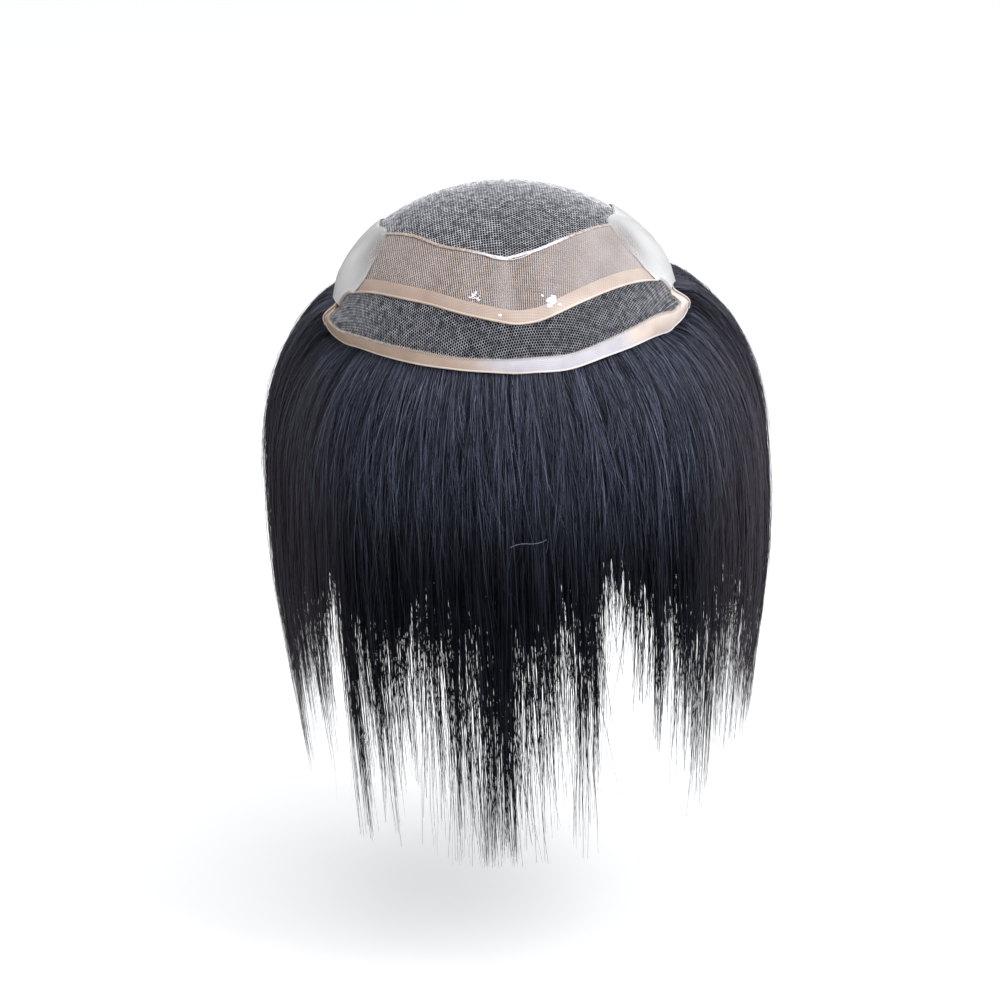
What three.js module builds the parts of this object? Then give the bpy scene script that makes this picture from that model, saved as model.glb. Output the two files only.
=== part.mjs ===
// Toupee hairpiece, stored skin side up: the base faces up and the hair hangs under and round it.
// Millimetres. +Z is up and the forehead edge is towards -Y. The origin is the point that rests on
// the crown of a head, under the pressed hair.
import * as THREE from "three";

// Base panels
const baseWall = 1;
const panelGap = 0.35;
const hemWidth = 6;

// Dome that the base is stretched over, measured on its outer face
const domeHalfWidth = 73.8;
const domeFront = 88;
const domeBack = 92;
const sideDrop = 46;
const frontDrop = 58.7;
const backDrop = 60.7;
const domeFullness = 1.16;

// Lengths from the crown, measured along the dome
const hairlineArc = 111;
const sideArc = 97;
const backArc = 118;
const crownBackArc = 80;
const crownHalfWidth = 53;
const crownBackBow = 0.08;

// Azimuths of the skin's rim, in degrees from the front: where it reaches its full length, and
// beside the crown panel's back corner
const skinTempleAzimuth = 84;
const skinCornerAzimuth = 140;
const skinTuck = 4; // how much shorter the skin is where it meets the strip's ends
const skinTuckAzimuth = 20; // over this many degrees from skinTempleAzimuth

// Temple corners, where the edge strip stands off the dome
const cornerLift = 7;
const cornerAzimuth = 76;
const cornerSpanAzimuth = 17;
const cornerDepth = 6;

// Hair
const hairClearance = 0.6;
const crownHairArc = 44;
const crownHairDepth = 3.4;
const rimHairDepth = 6;
const curtainDepth = 10;
const hairLength = 272;
const hairFlare = 35;
const hairRise = 7;
const lockRidge = 1.4;
const lockWidth = 12.5;
const tipSpread = 26;
const sectorGap = 0.5;
const edgeWindowAzimuth = 6; // degrees either way in which the hair keeps below the edge strip

// Fineness of the panels: ribs for each row of an edge's table, and strips across a panel
const RIBS_PER_ROW = 2;
const CROWN_STRIPS = 10;
const GAUZE_STRIPS = 3;
const GAUZE_END_STRIPS = 4;
const LACE_STRIPS = 3;
const SKIN_STRIPS = 5;

const domeTop = crownHairDepth + hairClearance + baseWall;
const radians = THREE.MathUtils.degToRad;
const blend = THREE.MathUtils.lerp;

// Edges of the panels from the left temple to the right. An azimuth is in degrees from the front,
// plus towards +X, and a reach is a share of hairlineArc.
const crownEdge = [
  { azimuth: -82.5, reach: 0.508 },
  { azimuth: -55, reach: 0.438 },
  { azimuth: -34.6, reach: 0.46 },
  { azimuth: -18, reach: 0.478 },
  { azimuth: -4, reach: 0.513 },
  { azimuth: 2, reach: 0.512 },
  { azimuth: 14.4, reach: 0.483 },
  { azimuth: 30, reach: 0.446 },
  { azimuth: 48, reach: 0.431 },
  { azimuth: 71.7, reach: 0.468 },
];
const laceRearEdge = [
  { azimuth: -75.8, reach: 0.828 },
  { azimuth: -73.8, reach: 0.79 },
  { azimuth: -70, reach: 0.757 },
  { azimuth: -65.2, reach: 0.744 },
  { azimuth: -44, reach: 0.717 },
  { azimuth: -28, reach: 0.733 },
  { azimuth: -15, reach: 0.77 },
  { azimuth: -3, reach: 0.805 },
  { azimuth: 4, reach: 0.813 },
  { azimuth: 12, reach: 0.792 },
  { azimuth: 26, reach: 0.74 },
  { azimuth: 43, reach: 0.713 },
  { azimuth: 62, reach: 0.741 },
  { azimuth: 66.5, reach: 0.75 },
  { azimuth: 70, reach: 0.779 },
  { azimuth: 72, reach: 0.812 },
];
const stripRearEdge = [
  { azimuth: -79.5, reach: 0.829 },
  { azimuth: -75.8, reach: 0.84 },
  { azimuth: -72.5, reach: 0.862 },
  { azimuth: -68, reach: 0.88 },
  { azimuth: -62, reach: 0.891 },
  { azimuth: -46, reach: 0.899 },
  { azimuth: -30, reach: 0.915 },
  { azimuth: -16, reach: 0.938 },
  { azimuth: -3.6, reach: 0.947 },
  { azimuth: 5, reach: 0.946 },
  { azimuth: 16, reach: 0.943 },
  { azimuth: 28, reach: 0.91 },
  { azimuth: 42, reach: 0.877 },
  { azimuth: 60, reach: 0.865 },
  { azimuth: 65, reach: 0.863 },
  { azimuth: 69.5, reach: 0.85 },
  { azimuth: 72, reach: 0.824 },
  { azimuth: 78, reach: 0.805 },
];
const stripFrontEdge = [
  { azimuth: -76, reach: 0.892 },
  { azimuth: -74.5, reach: 0.905 },
  { azimuth: -71.7, reach: 0.922 },
  { azimuth: -67, reach: 0.937 },
  { azimuth: -60.5, reach: 0.946 },
  { azimuth: -45, reach: 0.951 },
  { azimuth: -29.5, reach: 0.968 },
  { azimuth: -15.5, reach: 0.986 },
  { azimuth: -3.5, reach: 1 },
  { azimuth: 5, reach: 1.004 },
  { azimuth: 15.5, reach: 1.002 },
  { azimuth: 27.5, reach: 0.971 },
  { azimuth: 41.5, reach: 0.95 },
  { azimuth: 59, reach: 0.95 },
  { azimuth: 64.5, reach: 0.937 },
  { azimuth: 69.5, reach: 0.923 },
  { azimuth: 73, reach: 0.91 },
  { azimuth: 76, reach: 0.892 },
];
const TIP_ROWS = 3; // rows of laceRearEdge past each end of the gauze

// Hair sectors, from the left round to the front, and the seed that varies each one's locks.
const sectors = [
  { name: "hair_front", from: -50, to: 50, seed: 0.4 },
  { name: "hair_right", from: 50, to: 128, seed: 1.3 },
  { name: "hair_back", from: 128, to: 232, seed: 2.2 },
  { name: "hair_left", from: -128, to: -50, seed: 3.1 },
];
// Hair round the head: its flare as a share of hairFlare, and how far it rises on its way out as a
// share of hairRise.
const flareRound = [
  { azimuth: -180, flare: 0.9, rise: 1 },
  { azimuth: -130, flare: 1.04, rise: 1.2 },
  { azimuth: -90, flare: 1.0, rise: 0.6 },
  { azimuth: -45, flare: 0.8, rise: 0.2 },
  { azimuth: 0, flare: 0.66, rise: 0 },
  { azimuth: 45, flare: 0.86, rise: 0.3 },
  { azimuth: 90, flare: 1.18, rise: 1 },
  { azimuth: 130, flare: 1.22, rise: 1.5 },
  { azimuth: 180, flare: 0.9, rise: 1 },
];
// Hair from where it leaves the base to the tips: fall is a share of the height left, out of the
// flare, rise of the rise, depth of curtainDepth and width of a lock's full width.
const fallRows = [
  { fall: 0, out: 0, rise: 0, depth: rimHairDepth / curtainDepth, width: 1 },
  { fall: 0.015, out: 0.1, rise: 0.3, depth: 0.65, width: 1 },
  { fall: 0.04, out: 0.28, rise: 1.1, depth: 0.75, width: 1 },
  { fall: 0.09, out: 0.58, rise: 1, depth: 0.9, width: 1 },
  { fall: 0.16, out: 0.81, rise: 0.6, depth: 1, width: 1 },
  { fall: 0.25, out: 0.95, rise: 0.2, depth: 1, width: 1 },
  { fall: 0.38, out: 1, rise: 0, depth: 1, width: 1 },
  { fall: 0.48, out: 1, rise: 0, depth: 0.9, width: 0.8 },
  { fall: 0.58, out: 0.97, rise: 0, depth: 0.75, width: 0.56 },
  { fall: 0.7, out: 0.88, rise: 0, depth: 0.55, width: 0.36 },
  { fall: 0.84, out: 0.78, rise: 0, depth: 0.35, width: 0.2 },
  { fall: 1, out: 0.66, rise: 0, depth: 0.14, width: 0.08 },
];
const RIDGE_ROW = 3; // row of fallRows where the locks' ridges have grown
const SPLIT_ROW = 6; // row of fallRows where the locks part
const underRows = [0, 0.3, 0.6, 0.85]; // hair under the base, from the crown hair to the rim

const materials = {
  mesh: new THREE.MeshStandardMaterial({ color: 0x6c6c74, roughness: 0.8 }),
  gauze: new THREE.MeshStandardMaterial({ color: 0xa8968e, roughness: 0.55 }),
  hem: new THREE.MeshStandardMaterial({ color: 0xc4a896, roughness: 0.5 }),
  lace: new THREE.MeshStandardMaterial({ color: 0x66666e, roughness: 0.8 }),
  strip: new THREE.MeshStandardMaterial({ color: 0xd8c4b6, roughness: 0.35 }),
  skin: new THREE.MeshStandardMaterial({
    color: 0xc8c6c6,
    roughness: 0.3,
    transparent: true,
    opacity: 0.6,
  }),
  hair: new THREE.MeshStandardMaterial({ color: 0x1a1b20, roughness: 0.4 }),
};

// Dome

// The dome's profile at an azimuth: its radius and height after a share of the quarter turn.
function profile(azimuth, share) {
  const phi = radians(azimuth);
  const ahead = Math.cos(phi) > 0;
  const length = ahead ? domeFront : domeBack;
  const reach = 1 / Math.hypot(Math.sin(phi) / domeHalfWidth, Math.cos(phi) / length);
  const drop = blend(sideDrop, ahead ? frontDrop : backDrop, Math.cos(phi) ** 2);
  const turn = (share * Math.PI) / 2;
  const rise = Math.sign(Math.cos(turn)) * Math.abs(Math.cos(turn)) ** domeFullness;
  return { radius: reach * Math.sin(turn), height: domeTop - drop * (1 - rise) };
}

// The share of the quarter turn at which the profile has run a length from the crown.
function shareAt(azimuth, arc) {
  const step = 1 / 128;
  let share = 0;
  let run = 0;
  let here = profile(azimuth, 0);
  while (run < arc) {
    const next = profile(azimuth, share + step);
    const stretch = Math.hypot(next.radius - here.radius, next.height - here.height);
    if (run + stretch >= arc) return share + (step * (arc - run)) / stretch;
    run += stretch;
    share += step;
    here = next;
  }
  return share;
}

// A point of the dome from the flat pattern: x across and y ahead of the crown.
function domeFace(x, y, out = 0) {
  const arc = Math.hypot(x, y);
  const azimuth = THREE.MathUtils.radToDeg(Math.atan2(x, y));
  const { radius, height } = profile(azimuth, shareAt(azimuth, arc));
  const reach = (radius + out) / (arc || 1);
  return new THREE.Vector3(reach * x, -reach * y, height);
}

// The base's outer face: the dome with its temple corners lifted.
function baseFace(x, y) {
  const azimuth = THREE.MathUtils.radToDeg(Math.atan2(x, y));
  const offCorner = (Math.abs(azimuth) - cornerAzimuth) / cornerSpanAzimuth;
  const rise = THREE.MathUtils.smoothstep(Math.hypot(x, y), sideArc - cornerDepth, sideArc);
  return domeFace(x, y, cornerLift * rise * Math.exp(-(offCorner ** 2)));
}

// A point of a face moved along its normal, out of the dome when lift is positive.
function lifted(face, { x, y }, lift) {
  const reach = 0.5;
  const across = face(x + reach, y).sub(face(x - reach, y));
  const ahead = face(x, y + reach).sub(face(x, y - reach));
  return face(x, y).addScaledVector(ahead.cross(across).normalize(), lift);
}

function patternPoint(azimuth, arc) {
  return new THREE.Vector2(arc * Math.sin(radians(azimuth)), arc * Math.cos(radians(azimuth)));
}

// Solids

// A closed geometry from vertices and faces of three or four of their numbers.
function solid(vertices, faces) {
  const index = faces.flatMap(([a, b, c, d]) => (d === undefined ? [a, b, c] : [a, b, c, a, c, d]));
  const positions = vertices.flatMap((vertex) => vertex.toArray());
  const geometry = new THREE.BufferGeometry();
  geometry.setAttribute("position", new THREE.Float32BufferAttribute(positions, 3));
  geometry.setIndex(index);
  geometry.computeVertexNormals();
  return geometry;
}

function part(name, geometry, material) {
  const mesh = new THREE.Mesh(geometry, material);
  mesh.name = name;
  return mesh;
}

// Moves the first point of a line towards the second, and the last towards the one before it.
function trimEnds(line, length) {
  const towards = (from, to) => from.clone().lerp(to, length / from.distanceTo(to));
  const last = line.length - 1;
  return [towards(line[0], line[1]), ...line.slice(1, last), towards(line[last], line[last - 1])];
}

// A slab of the base between two lines of the pattern that run the same way, left to right from
// behind, with half the gap taken off all round.
function panel(name, rear, front, strips, material) {
  const half = panelGap / 2;
  const ribs = rear.map((point, i) => {
    const rib = Array.from({ length: strips + 1 }, (_, j) => point.clone().lerp(front[i], j / strips));
    return trimEnds(rib, half);
  });
  const lines = ribs[0].map((_, j) => trimEnds(ribs.map((rib) => rib[j]), half));
  const vertices = [0, -baseWall].flatMap((lift) =>
    lines.flatMap((line) => line.map((point) => lifted(baseFace, point, lift))),
  );
  const outer = (i, j) => j * ribs.length + i;
  const inner = (i, j) => outer(i, j) + lines.length * ribs.length;
  const faces = [];
  const last = ribs.length - 1;
  for (let i = 0; i < last; i++) {
    for (let j = 0; j < strips; j++) {
      faces.push([outer(i, j), outer(i, j + 1), outer(i + 1, j + 1), outer(i + 1, j)]);
      faces.push([inner(i, j), inner(i + 1, j), inner(i + 1, j + 1), inner(i, j + 1)]);
    }
    faces.push([outer(i + 1, 0), inner(i + 1, 0), inner(i, 0), outer(i, 0)]);
    faces.push([outer(i, strips), inner(i, strips), inner(i + 1, strips), outer(i + 1, strips)]);
  }
  for (let j = 0; j < strips; j++) {
    faces.push([outer(0, j), inner(0, j), inner(0, j + 1), outer(0, j + 1)]);
    faces.push([outer(last, j + 1), inner(last, j + 1), inner(last, j), outer(last, j)]);
  }
  return part(name, solid(vertices, faces), material);
}

// Base

function edge(rows) {
  return new THREE.SplineCurve(rows.map((row) => patternPoint(row.azimuth, row.reach * hairlineArc)));
}

// The points of an edge between two rows of its table.
function stretchOf(curve, from, to) {
  const count = (to - from) * RIBS_PER_ROW;
  const rows = curve.points.length - 1;
  return Array.from({ length: count + 1 }, (_, i) => curve.getPoint((from + i / RIBS_PER_ROW) / rows));
}

function straight(from, to, count) {
  return Array.from({ length: count + 1 }, (_, i) => from.clone().lerp(to, i / count));
}

const crownLine = edge(crownEdge);
const laceRear = edge(laceRearEdge);
const stripRear = edge(stripRearEdge);
const stripFront = edge(stripFrontEdge);
const gauzeRows = crownEdge.length - 1;

const crownFront = stretchOf(crownLine, 0, gauzeRows);
const hemFront = stretchOf(laceRear, TIP_ROWS, TIP_ROWS + gauzeRows);
const hemRear = hemFront.map((point) => point.clone().setLength(point.length() - hemWidth));
const crownBack = crownFront.map((_, i) => {
  const across = (2 * i) / (crownFront.length - 1) - 1;
  return new THREE.Vector2(across * crownHalfWidth, -crownBackArc * (1 - crownBackBow * across ** 2));
});

// The rim of the clear skin from the left temple round the back to the right.
function rimPoint(azimuth) {
  const behind = Math.max(0, -Math.cos(radians(azimuth))) ** 2;
  const past = Math.abs(wrapped(azimuth)) - skinTempleAzimuth;
  const tucked = skinTuck * (1 - THREE.MathUtils.smoothstep(past, 0, skinTuckAzimuth));
  return patternPoint(azimuth, blend(sideArc, backArc, behind) - tucked);
}

// One half of the skin's inner and outer lines, from a lace tip to the back corner of the crown.
function skinHalf(side, tip, gauzeEnd, corner, backCorner, stripEnd) {
  const inner = [
    ...tip,
    ...straight(gauzeEnd, corner, GAUZE_END_STRIPS),
    ...straight(corner, backCorner, CROWN_STRIPS).slice(1),
  ];
  const outer = inner.map((_, i) => {
    const rim = rimPoint(side * blend(skinTempleAzimuth, skinCornerAzimuth, i / (inner.length - 1)));
    return stripEnd.clone().lerp(rim, Math.min(1, i / TIP_ROWS));
  });
  return { inner, outer };
}

function clearSkin() {
  const ends = laceRearEdge.length - 1;
  const last = crownFront.length - 1;
  const leftTip = stretchOf(laceRear, 0, TIP_ROWS);
  const rightTip = stretchOf(laceRear, ends - TIP_ROWS, ends).reverse();
  const leftEnd = stripRear.getPoint(0);
  const rightEnd = stripRear.getPoint(1);
  const left = skinHalf(-1, leftTip, hemRear[0], crownFront[0], crownBack[0], leftEnd);
  const right = skinHalf(1, rightTip, hemRear[last], crownFront[last], crownBack[last], rightEnd);
  const backOuter = crownBack.map((_, i) =>
    rimPoint(blend(-skinCornerAzimuth, skinCornerAzimuth - 360, i / last)),
  );
  const inner = [...left.inner, ...crownBack.slice(1, last), ...right.inner.reverse()];
  const outer = [...left.outer, ...backOuter.slice(1, last), ...right.outer.reverse()];
  return panel("clear_skin", outer, inner, SKIN_STRIPS, materials.skin);
}

function base() {
  const group = new THREE.Group();
  const tipToTip = laceRearEdge.length - 1;
  const endToEnd = stripRearEdge.length - 1;
  const laceBack = stretchOf(laceRear, 0, tipToTip);
  const laceFront = stretchOf(stripRear, 1, tipToTip + 1);
  const stripBack = stretchOf(stripRear, 0, endToEnd);
  const hairline = stretchOf(stripFront, 0, endToEnd);
  group.add(
    panel("crown_mesh", crownBack, crownFront, CROWN_STRIPS, materials.mesh),
    panel("gauze_band", crownFront, hemRear, GAUZE_STRIPS, materials.gauze),
    panel("gauze_hem", hemRear, hemFront, 1, materials.hem),
    panel("front_lace", laceBack, laceFront, LACE_STRIPS, materials.lace),
    panel("front_edge_strip", stripBack, hairline, 1, materials.strip),
    clearSkin(),
  );
  return group;
}

// Hair

// Reads a column of a table between its rows, by azimuth.
function readRound(table, column, azimuth) {
  const after = Math.max(1, table.findIndex((row) => row.azimuth >= azimuth));
  const [a, b] = [table[after - 1], table[after]];
  const share = (azimuth - a.azimuth) / (b.azimuth - a.azimuth);
  return blend(a[column], b[column], THREE.MathUtils.smootherstep(share, 0, 1));
}

// The length from the crown at which the hair leaves the base: past the edge strip in front and
// past the skin's rim behind it.
const edgeArcs = stretchOf(stripFront, 0, stripFrontEdge.length - 1).map((point) => ({
  azimuth: THREE.MathUtils.radToDeg(Math.atan2(point.x, point.y)),
  arc: point.length(),
}));
function rimArc(azimuth) {
  const near = edgeArcs.filter((row) => Math.abs(row.azimuth - azimuth) < edgeWindowAzimuth);
  const rim = Math.abs(azimuth) > cornerAzimuth ? rimPoint(azimuth).length() : 0;
  return Math.max(rim, ...near.map((row) => row.arc));
}

function wrapped(azimuth) {
  return THREE.MathUtils.euclideanModulo(azimuth + 180, 360) - 180;
}

// A point of a sector above the locks: row counts down from the crown hair.
function hairPoint(azimuth, row, ridge, inside) {
  const flat = wrapped(azimuth);
  const rim = rimArc(flat);
  const top = -(baseWall + hairClearance);
  if (row < underRows.length) {
    const share = underRows[row];
    const at = patternPoint(flat, blend(crownHairArc, rim, share));
    const depth = blend(crownHairDepth, rimHairDepth, share);
    return lifted(domeFace, at, inside ? top - depth : top);
  }
  const { fall, out, rise, depth } = fallRows[row - underRows.length];
  const at = patternPoint(flat, rim);
  const start = domeFace(at.x, at.y, top);
  const flare = hairFlare * readRound(flareRound, "flare", flat);
  const lift = hairRise * readRound(flareRound, "rise", flat) * rise;
  const grown = Math.min(1, fall / fallRows[RIDGE_ROW].fall);
  const face = Math.hypot(start.x, start.y) + out * flare + ridge * lockRidge * grown;
  const radial = inside ? face - depth * curtainDepth : face;
  const height = blend(start.z, -hairLength, fall) + lift;
  return new THREE.Vector3(Math.sin(radians(flat)) * radial, -Math.cos(radians(flat)) * radial, height);
}

// Pressed hair under the crown panel.
function crownHair() {
  const rings = [0.35, 0.7, 1];
  const sides = 36;
  const top = -(baseWall + hairClearance);
  const arc = crownHairArc - sectorGap;
  const vertices = [];
  for (const lift of [top, top - crownHairDepth]) {
    vertices.push(lifted(domeFace, patternPoint(0, 0), lift));
    for (const ring of rings)
      for (let i = 0; i < sides; i++) {
        vertices.push(lifted(domeFace, patternPoint((360 * i) / sides, arc * ring), lift));
      }
  }
  const layer = 1 + rings.length * sides;
  const number = (inside, ring, i) => inside * layer + 1 + ring * sides + (i % sides);
  const faces = [];
  for (let i = 0; i < sides; i++) {
    faces.push([0, number(0, 0, i + 1), number(0, 0, i)].reverse());
    faces.push([layer, number(1, 0, i), number(1, 0, i + 1)].reverse());
    for (let r = 0; r < rings.length - 1; r++) {
      faces.push([number(0, r, i), number(0, r + 1, i), number(0, r + 1, i + 1), number(0, r, i + 1)]);
      faces.push([number(1, r, i), number(1, r, i + 1), number(1, r + 1, i + 1), number(1, r + 1, i)]);
    }
    const r = rings.length - 1;
    faces.push([number(0, r, i), number(1, r, i), number(1, r, i + 1), number(0, r, i + 1)]);
  }
  return part("hair_crown", solid(vertices, faces), materials.hair);
}

// A sector of the hair between two azimuths: one wall above, parted into pointed locks below.
function hairSector({ name, from, to, seed }) {
  const radius = (domeHalfWidth + domeFront) / 2 + hairFlare / 2;
  const locks = Math.max(3, Math.round((radians(to - from) * radius) / lockWidth));
  const gap = THREE.MathUtils.radToDeg(sectorGap / 2 / crownHairArc);
  const start = from + gap;
  const span = to - from - 2 * gap;
  const columns = 2 * locks;
  const wallRows = underRows.length + SPLIT_ROW;
  const vertices = [];
  const faces = [];
  const add = (point) => vertices.push(point) - 1;
  const wall = [false, true].map((inside) =>
    Array.from({ length: wallRows + 1 }, (_, row) =>
      Array.from({ length: columns + 1 }, (_, c) =>
        add(hairPoint(start + (span * c) / columns, row, c % 2 ? 1 : -1, inside)),
      ),
    ),
  );
  // Faces between two rows of outer points and the same rows inside them.
  const band = (outer, inner, lower, lowerInner) => {
    for (let c = 0; c < outer.length - 1; c++) {
      faces.push([outer[c], lower[c], lower[c + 1], outer[c + 1]]);
      faces.push([inner[c], inner[c + 1], lowerInner[c + 1], lowerInner[c]]);
    }
  };
  const sides = (outer, inner, lower, lowerInner) => {
    const c = outer.length - 1;
    faces.push([outer[0], inner[0], lowerInner[0], lower[0]]);
    faces.push([outer[c], lower[c], lowerInner[c], inner[c]]);
  };
  const cap = (outer, inner, down) => {
    for (let c = 0; c < outer.length - 1; c++) {
      const face = [outer[c], outer[c + 1], inner[c + 1], inner[c]];
      faces.push(down ? face.reverse() : face);
    }
  };
  for (let row = 0; row < wallRows; row++) {
    const lines = [wall[0][row], wall[1][row], wall[0][row + 1], wall[1][row + 1]];
    band(...lines);
    sides(...lines);
  }
  cap(wall[0][0], wall[1][0], false);
  for (let lock = 0; lock < locks; lock++) {
    const middle = start + (span * (2 * lock + 1)) / columns;
    const half = span / columns;
    const short = tipSpread * (0.5 + 0.5 * Math.sin(seed + 2.4 * lock));
    const lean = 0.5 * half * Math.sin(seed + 1.7 * lock);
    let above = [false, true].map((inside) => wall[Number(inside)][wallRows].slice(2 * lock, 2 * lock + 3));
    for (let row = SPLIT_ROW + 1; row < fallRows.length; row++) {
      const { fall, width } = fallRows[row];
      const loose = (row - SPLIT_ROW) / (fallRows.length - 1 - SPLIT_ROW);
      const below = [false, true].map((inside) =>
        [-1, 0, 1].map((side) => {
          const azimuth = middle + lean * loose + side * half * width;
          const ridge = (side ? -1 : 1) * width;
          const point = hairPoint(azimuth, underRows.length + row, ridge, inside);
          point.z = blend(point.z, point.z + short, fall * loose);
          return add(point);
        }),
      );
      band(above[0], above[1], below[0], below[1]);
      sides(above[0], above[1], below[0], below[1]);
      above = below;
    }
    cap(above[0], above[1], true);
  }
  return part(name, solid(vertices, faces), materials.hair);
}

function hair() {
  const group = new THREE.Group();
  group.add(crownHair(), ...sectors.map(hairSector));
  return group;
}

const hairpiece = new THREE.Group();
hairpiece.add(base(), hair());

export default hairpiece;
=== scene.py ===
"""Toupee hairpiece, stored skin side up: a net, gauze, lace and film base over long straight hair.

Metres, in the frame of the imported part: +Z is up, the forehead edge is towards -Y, and an azimuth is
in degrees from the front, plus towards +X.
"""

import logging
from collections.abc import Callable
from dataclasses import dataclass, field
from enum import Enum

import bpy
import numpy as np
from mathutils import Matrix

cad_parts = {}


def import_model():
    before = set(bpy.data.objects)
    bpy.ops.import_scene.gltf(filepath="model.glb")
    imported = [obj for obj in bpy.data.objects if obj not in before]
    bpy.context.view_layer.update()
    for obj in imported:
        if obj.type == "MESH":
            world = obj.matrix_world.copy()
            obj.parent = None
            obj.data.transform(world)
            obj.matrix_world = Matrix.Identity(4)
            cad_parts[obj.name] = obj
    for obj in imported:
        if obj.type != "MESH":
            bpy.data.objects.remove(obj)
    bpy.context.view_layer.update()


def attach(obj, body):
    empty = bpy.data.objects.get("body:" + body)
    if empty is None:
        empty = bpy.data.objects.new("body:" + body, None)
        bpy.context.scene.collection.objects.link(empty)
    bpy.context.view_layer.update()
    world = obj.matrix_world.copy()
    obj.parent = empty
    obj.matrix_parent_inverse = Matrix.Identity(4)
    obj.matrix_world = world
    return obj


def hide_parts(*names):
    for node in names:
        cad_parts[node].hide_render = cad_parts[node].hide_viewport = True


log = logging.getLogger("hairpiece")

Array = np.ndarray
Colour = tuple[float, float, float]
Row = tuple[float, ...]
Lift = Callable[[Array, Array], Array]
Stops = tuple[tuple[float, Colour], ...]


class Slot(Enum):
    """Material slots of the record."""

    MESH = "mesh"
    GAUZE = "gauze"
    HEM = "hem"
    LACE = "lace"
    STRIP = "edge_strip"
    SKIN = "clear_skin"
    HAIR = "hair"


class Side(Enum):
    """Which half of the head a piece is on: its sign along X."""

    LEFT = -1
    RIGHT = 1


def blend(a: Array | float, b: Array | float, share: Array | float) -> Array | float:
    """A value a share of the way from a to b."""
    return a + (b - a) * share


def smooth(low: float, high: float, value: Array | float) -> Array:
    """An even rise from 0 at low to 1 at high, flat at both ends."""
    share = np.clip((value - low) / (high - low), 0, 1)
    return share * share * (3 - 2 * share)


def unit(vectors: Array) -> Array:
    """Vectors at length 1."""
    return vectors / np.maximum(np.linalg.norm(vectors, axis=-1, keepdims=True), 1e-12)


def even(values: Array, reach: int = 2) -> Array:
    """Values averaged with their neighbours."""
    padded = np.pad(values, reach, "edge")
    return np.convolve(padded, np.ones(2 * reach + 1) / (2 * reach + 1), "valid")


def ripple(values: Array, seed: float, waves: tuple[float, ...]) -> Array:
    """A smooth uneven curve from -1 to 1, a sum of sines.

    Args:
        values: Where it is read.
        seed: Shifts the sines, so that each use gets its own curve.
        waves: How many turns each sine makes over one unit of values.
    """
    parts = [np.sin(2 * np.pi * wave * values + seed * (3.1 + 1.7 * i)) for i, wave in enumerate(waves)]
    return sum(parts) / len(parts)


@dataclass
class Shape:
    """Points and the triangles between them."""

    points: Array
    faces: Array

    @staticmethod
    def joined(shapes: list["Shape"]) -> "Shape":
        """Several shapes as one."""
        starts = np.cumsum([0] + [len(shape.points) for shape in shapes[:-1]])
        points = np.concatenate([shape.points for shape in shapes])
        faces = np.concatenate([shape.faces + start for shape, start in zip(shapes, starts)])
        return Shape(points, faces)

    def outward(self) -> "Shape":
        """The same closed shape with its faces turned out."""
        a, b, c = (self.points[self.faces[:, i]] for i in range(3))
        turned = np.einsum("ij,ij->i", a, np.cross(b, c)).sum() < 0
        return Shape(self.points, self.faces[:, ::-1] if turned else self.faces)

    def piece(self, name: str) -> bpy.types.Object:
        """The shape as a smooth-shaded object at the origin.

        Args:
            name: The object's name.

        Returns:
            The new object, linked to the scene.
        """
        mesh = bpy.data.meshes.new(name)
        mesh.vertices.add(len(self.points))
        mesh.vertices.foreach_set("co", self.points.astype(np.float32).ravel())
        mesh.loops.add(self.faces.size)
        mesh.loops.foreach_set("vertex_index", self.faces.astype(np.int32).ravel())
        mesh.polygons.add(len(self.faces))
        mesh.polygons.foreach_set("loop_start", np.arange(0, self.faces.size, 3, dtype=np.int32))
        mesh.update(calc_edges=True)
        mesh.validate()
        mesh.polygons.foreach_set("use_smooth", np.ones(len(mesh.polygons), dtype=bool))
        piece = bpy.data.objects.new(name, mesh)
        bpy.context.scene.collection.objects.link(piece)
        return piece


def quads(corners: Array) -> Array:
    """Rows of four corners as two triangles each."""
    return np.concatenate([corners[:, [0, 1, 2]], corners[:, [0, 2, 3]]])


def shell(outer: Array, inner: Array) -> Shape:
    """A closed shell between two grids of points of the same size.

    Args:
        outer: Points of the outer face, rows by columns by 3.
        inner: Points of the inner face, in the same order.
    """
    rows, columns = outer.shape[:2]
    number = np.arange(rows * columns).reshape(rows, columns)
    under = number + rows * columns
    cells = np.stack([number[:-1, :-1], number[:-1, 1:], number[1:, 1:], number[1:, :-1]], -1).reshape(-1, 4)
    back = cells[:, ::-1] + rows * columns
    rim = np.concatenate([number[0], number[1:, -1], number[-1, -2::-1], number[-2:0:-1, 0]])
    below = np.concatenate([under[0], under[1:, -1], under[-1, -2::-1], under[-2:0:-1, 0]])
    sides = np.stack([np.roll(rim, -1), rim, below, np.roll(below, -1)], -1)
    points = np.concatenate([outer.reshape(-1, 3), inner.reshape(-1, 3)])
    return Shape(points, quads(np.concatenate([cells, back, sides]))).outward()


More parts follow.
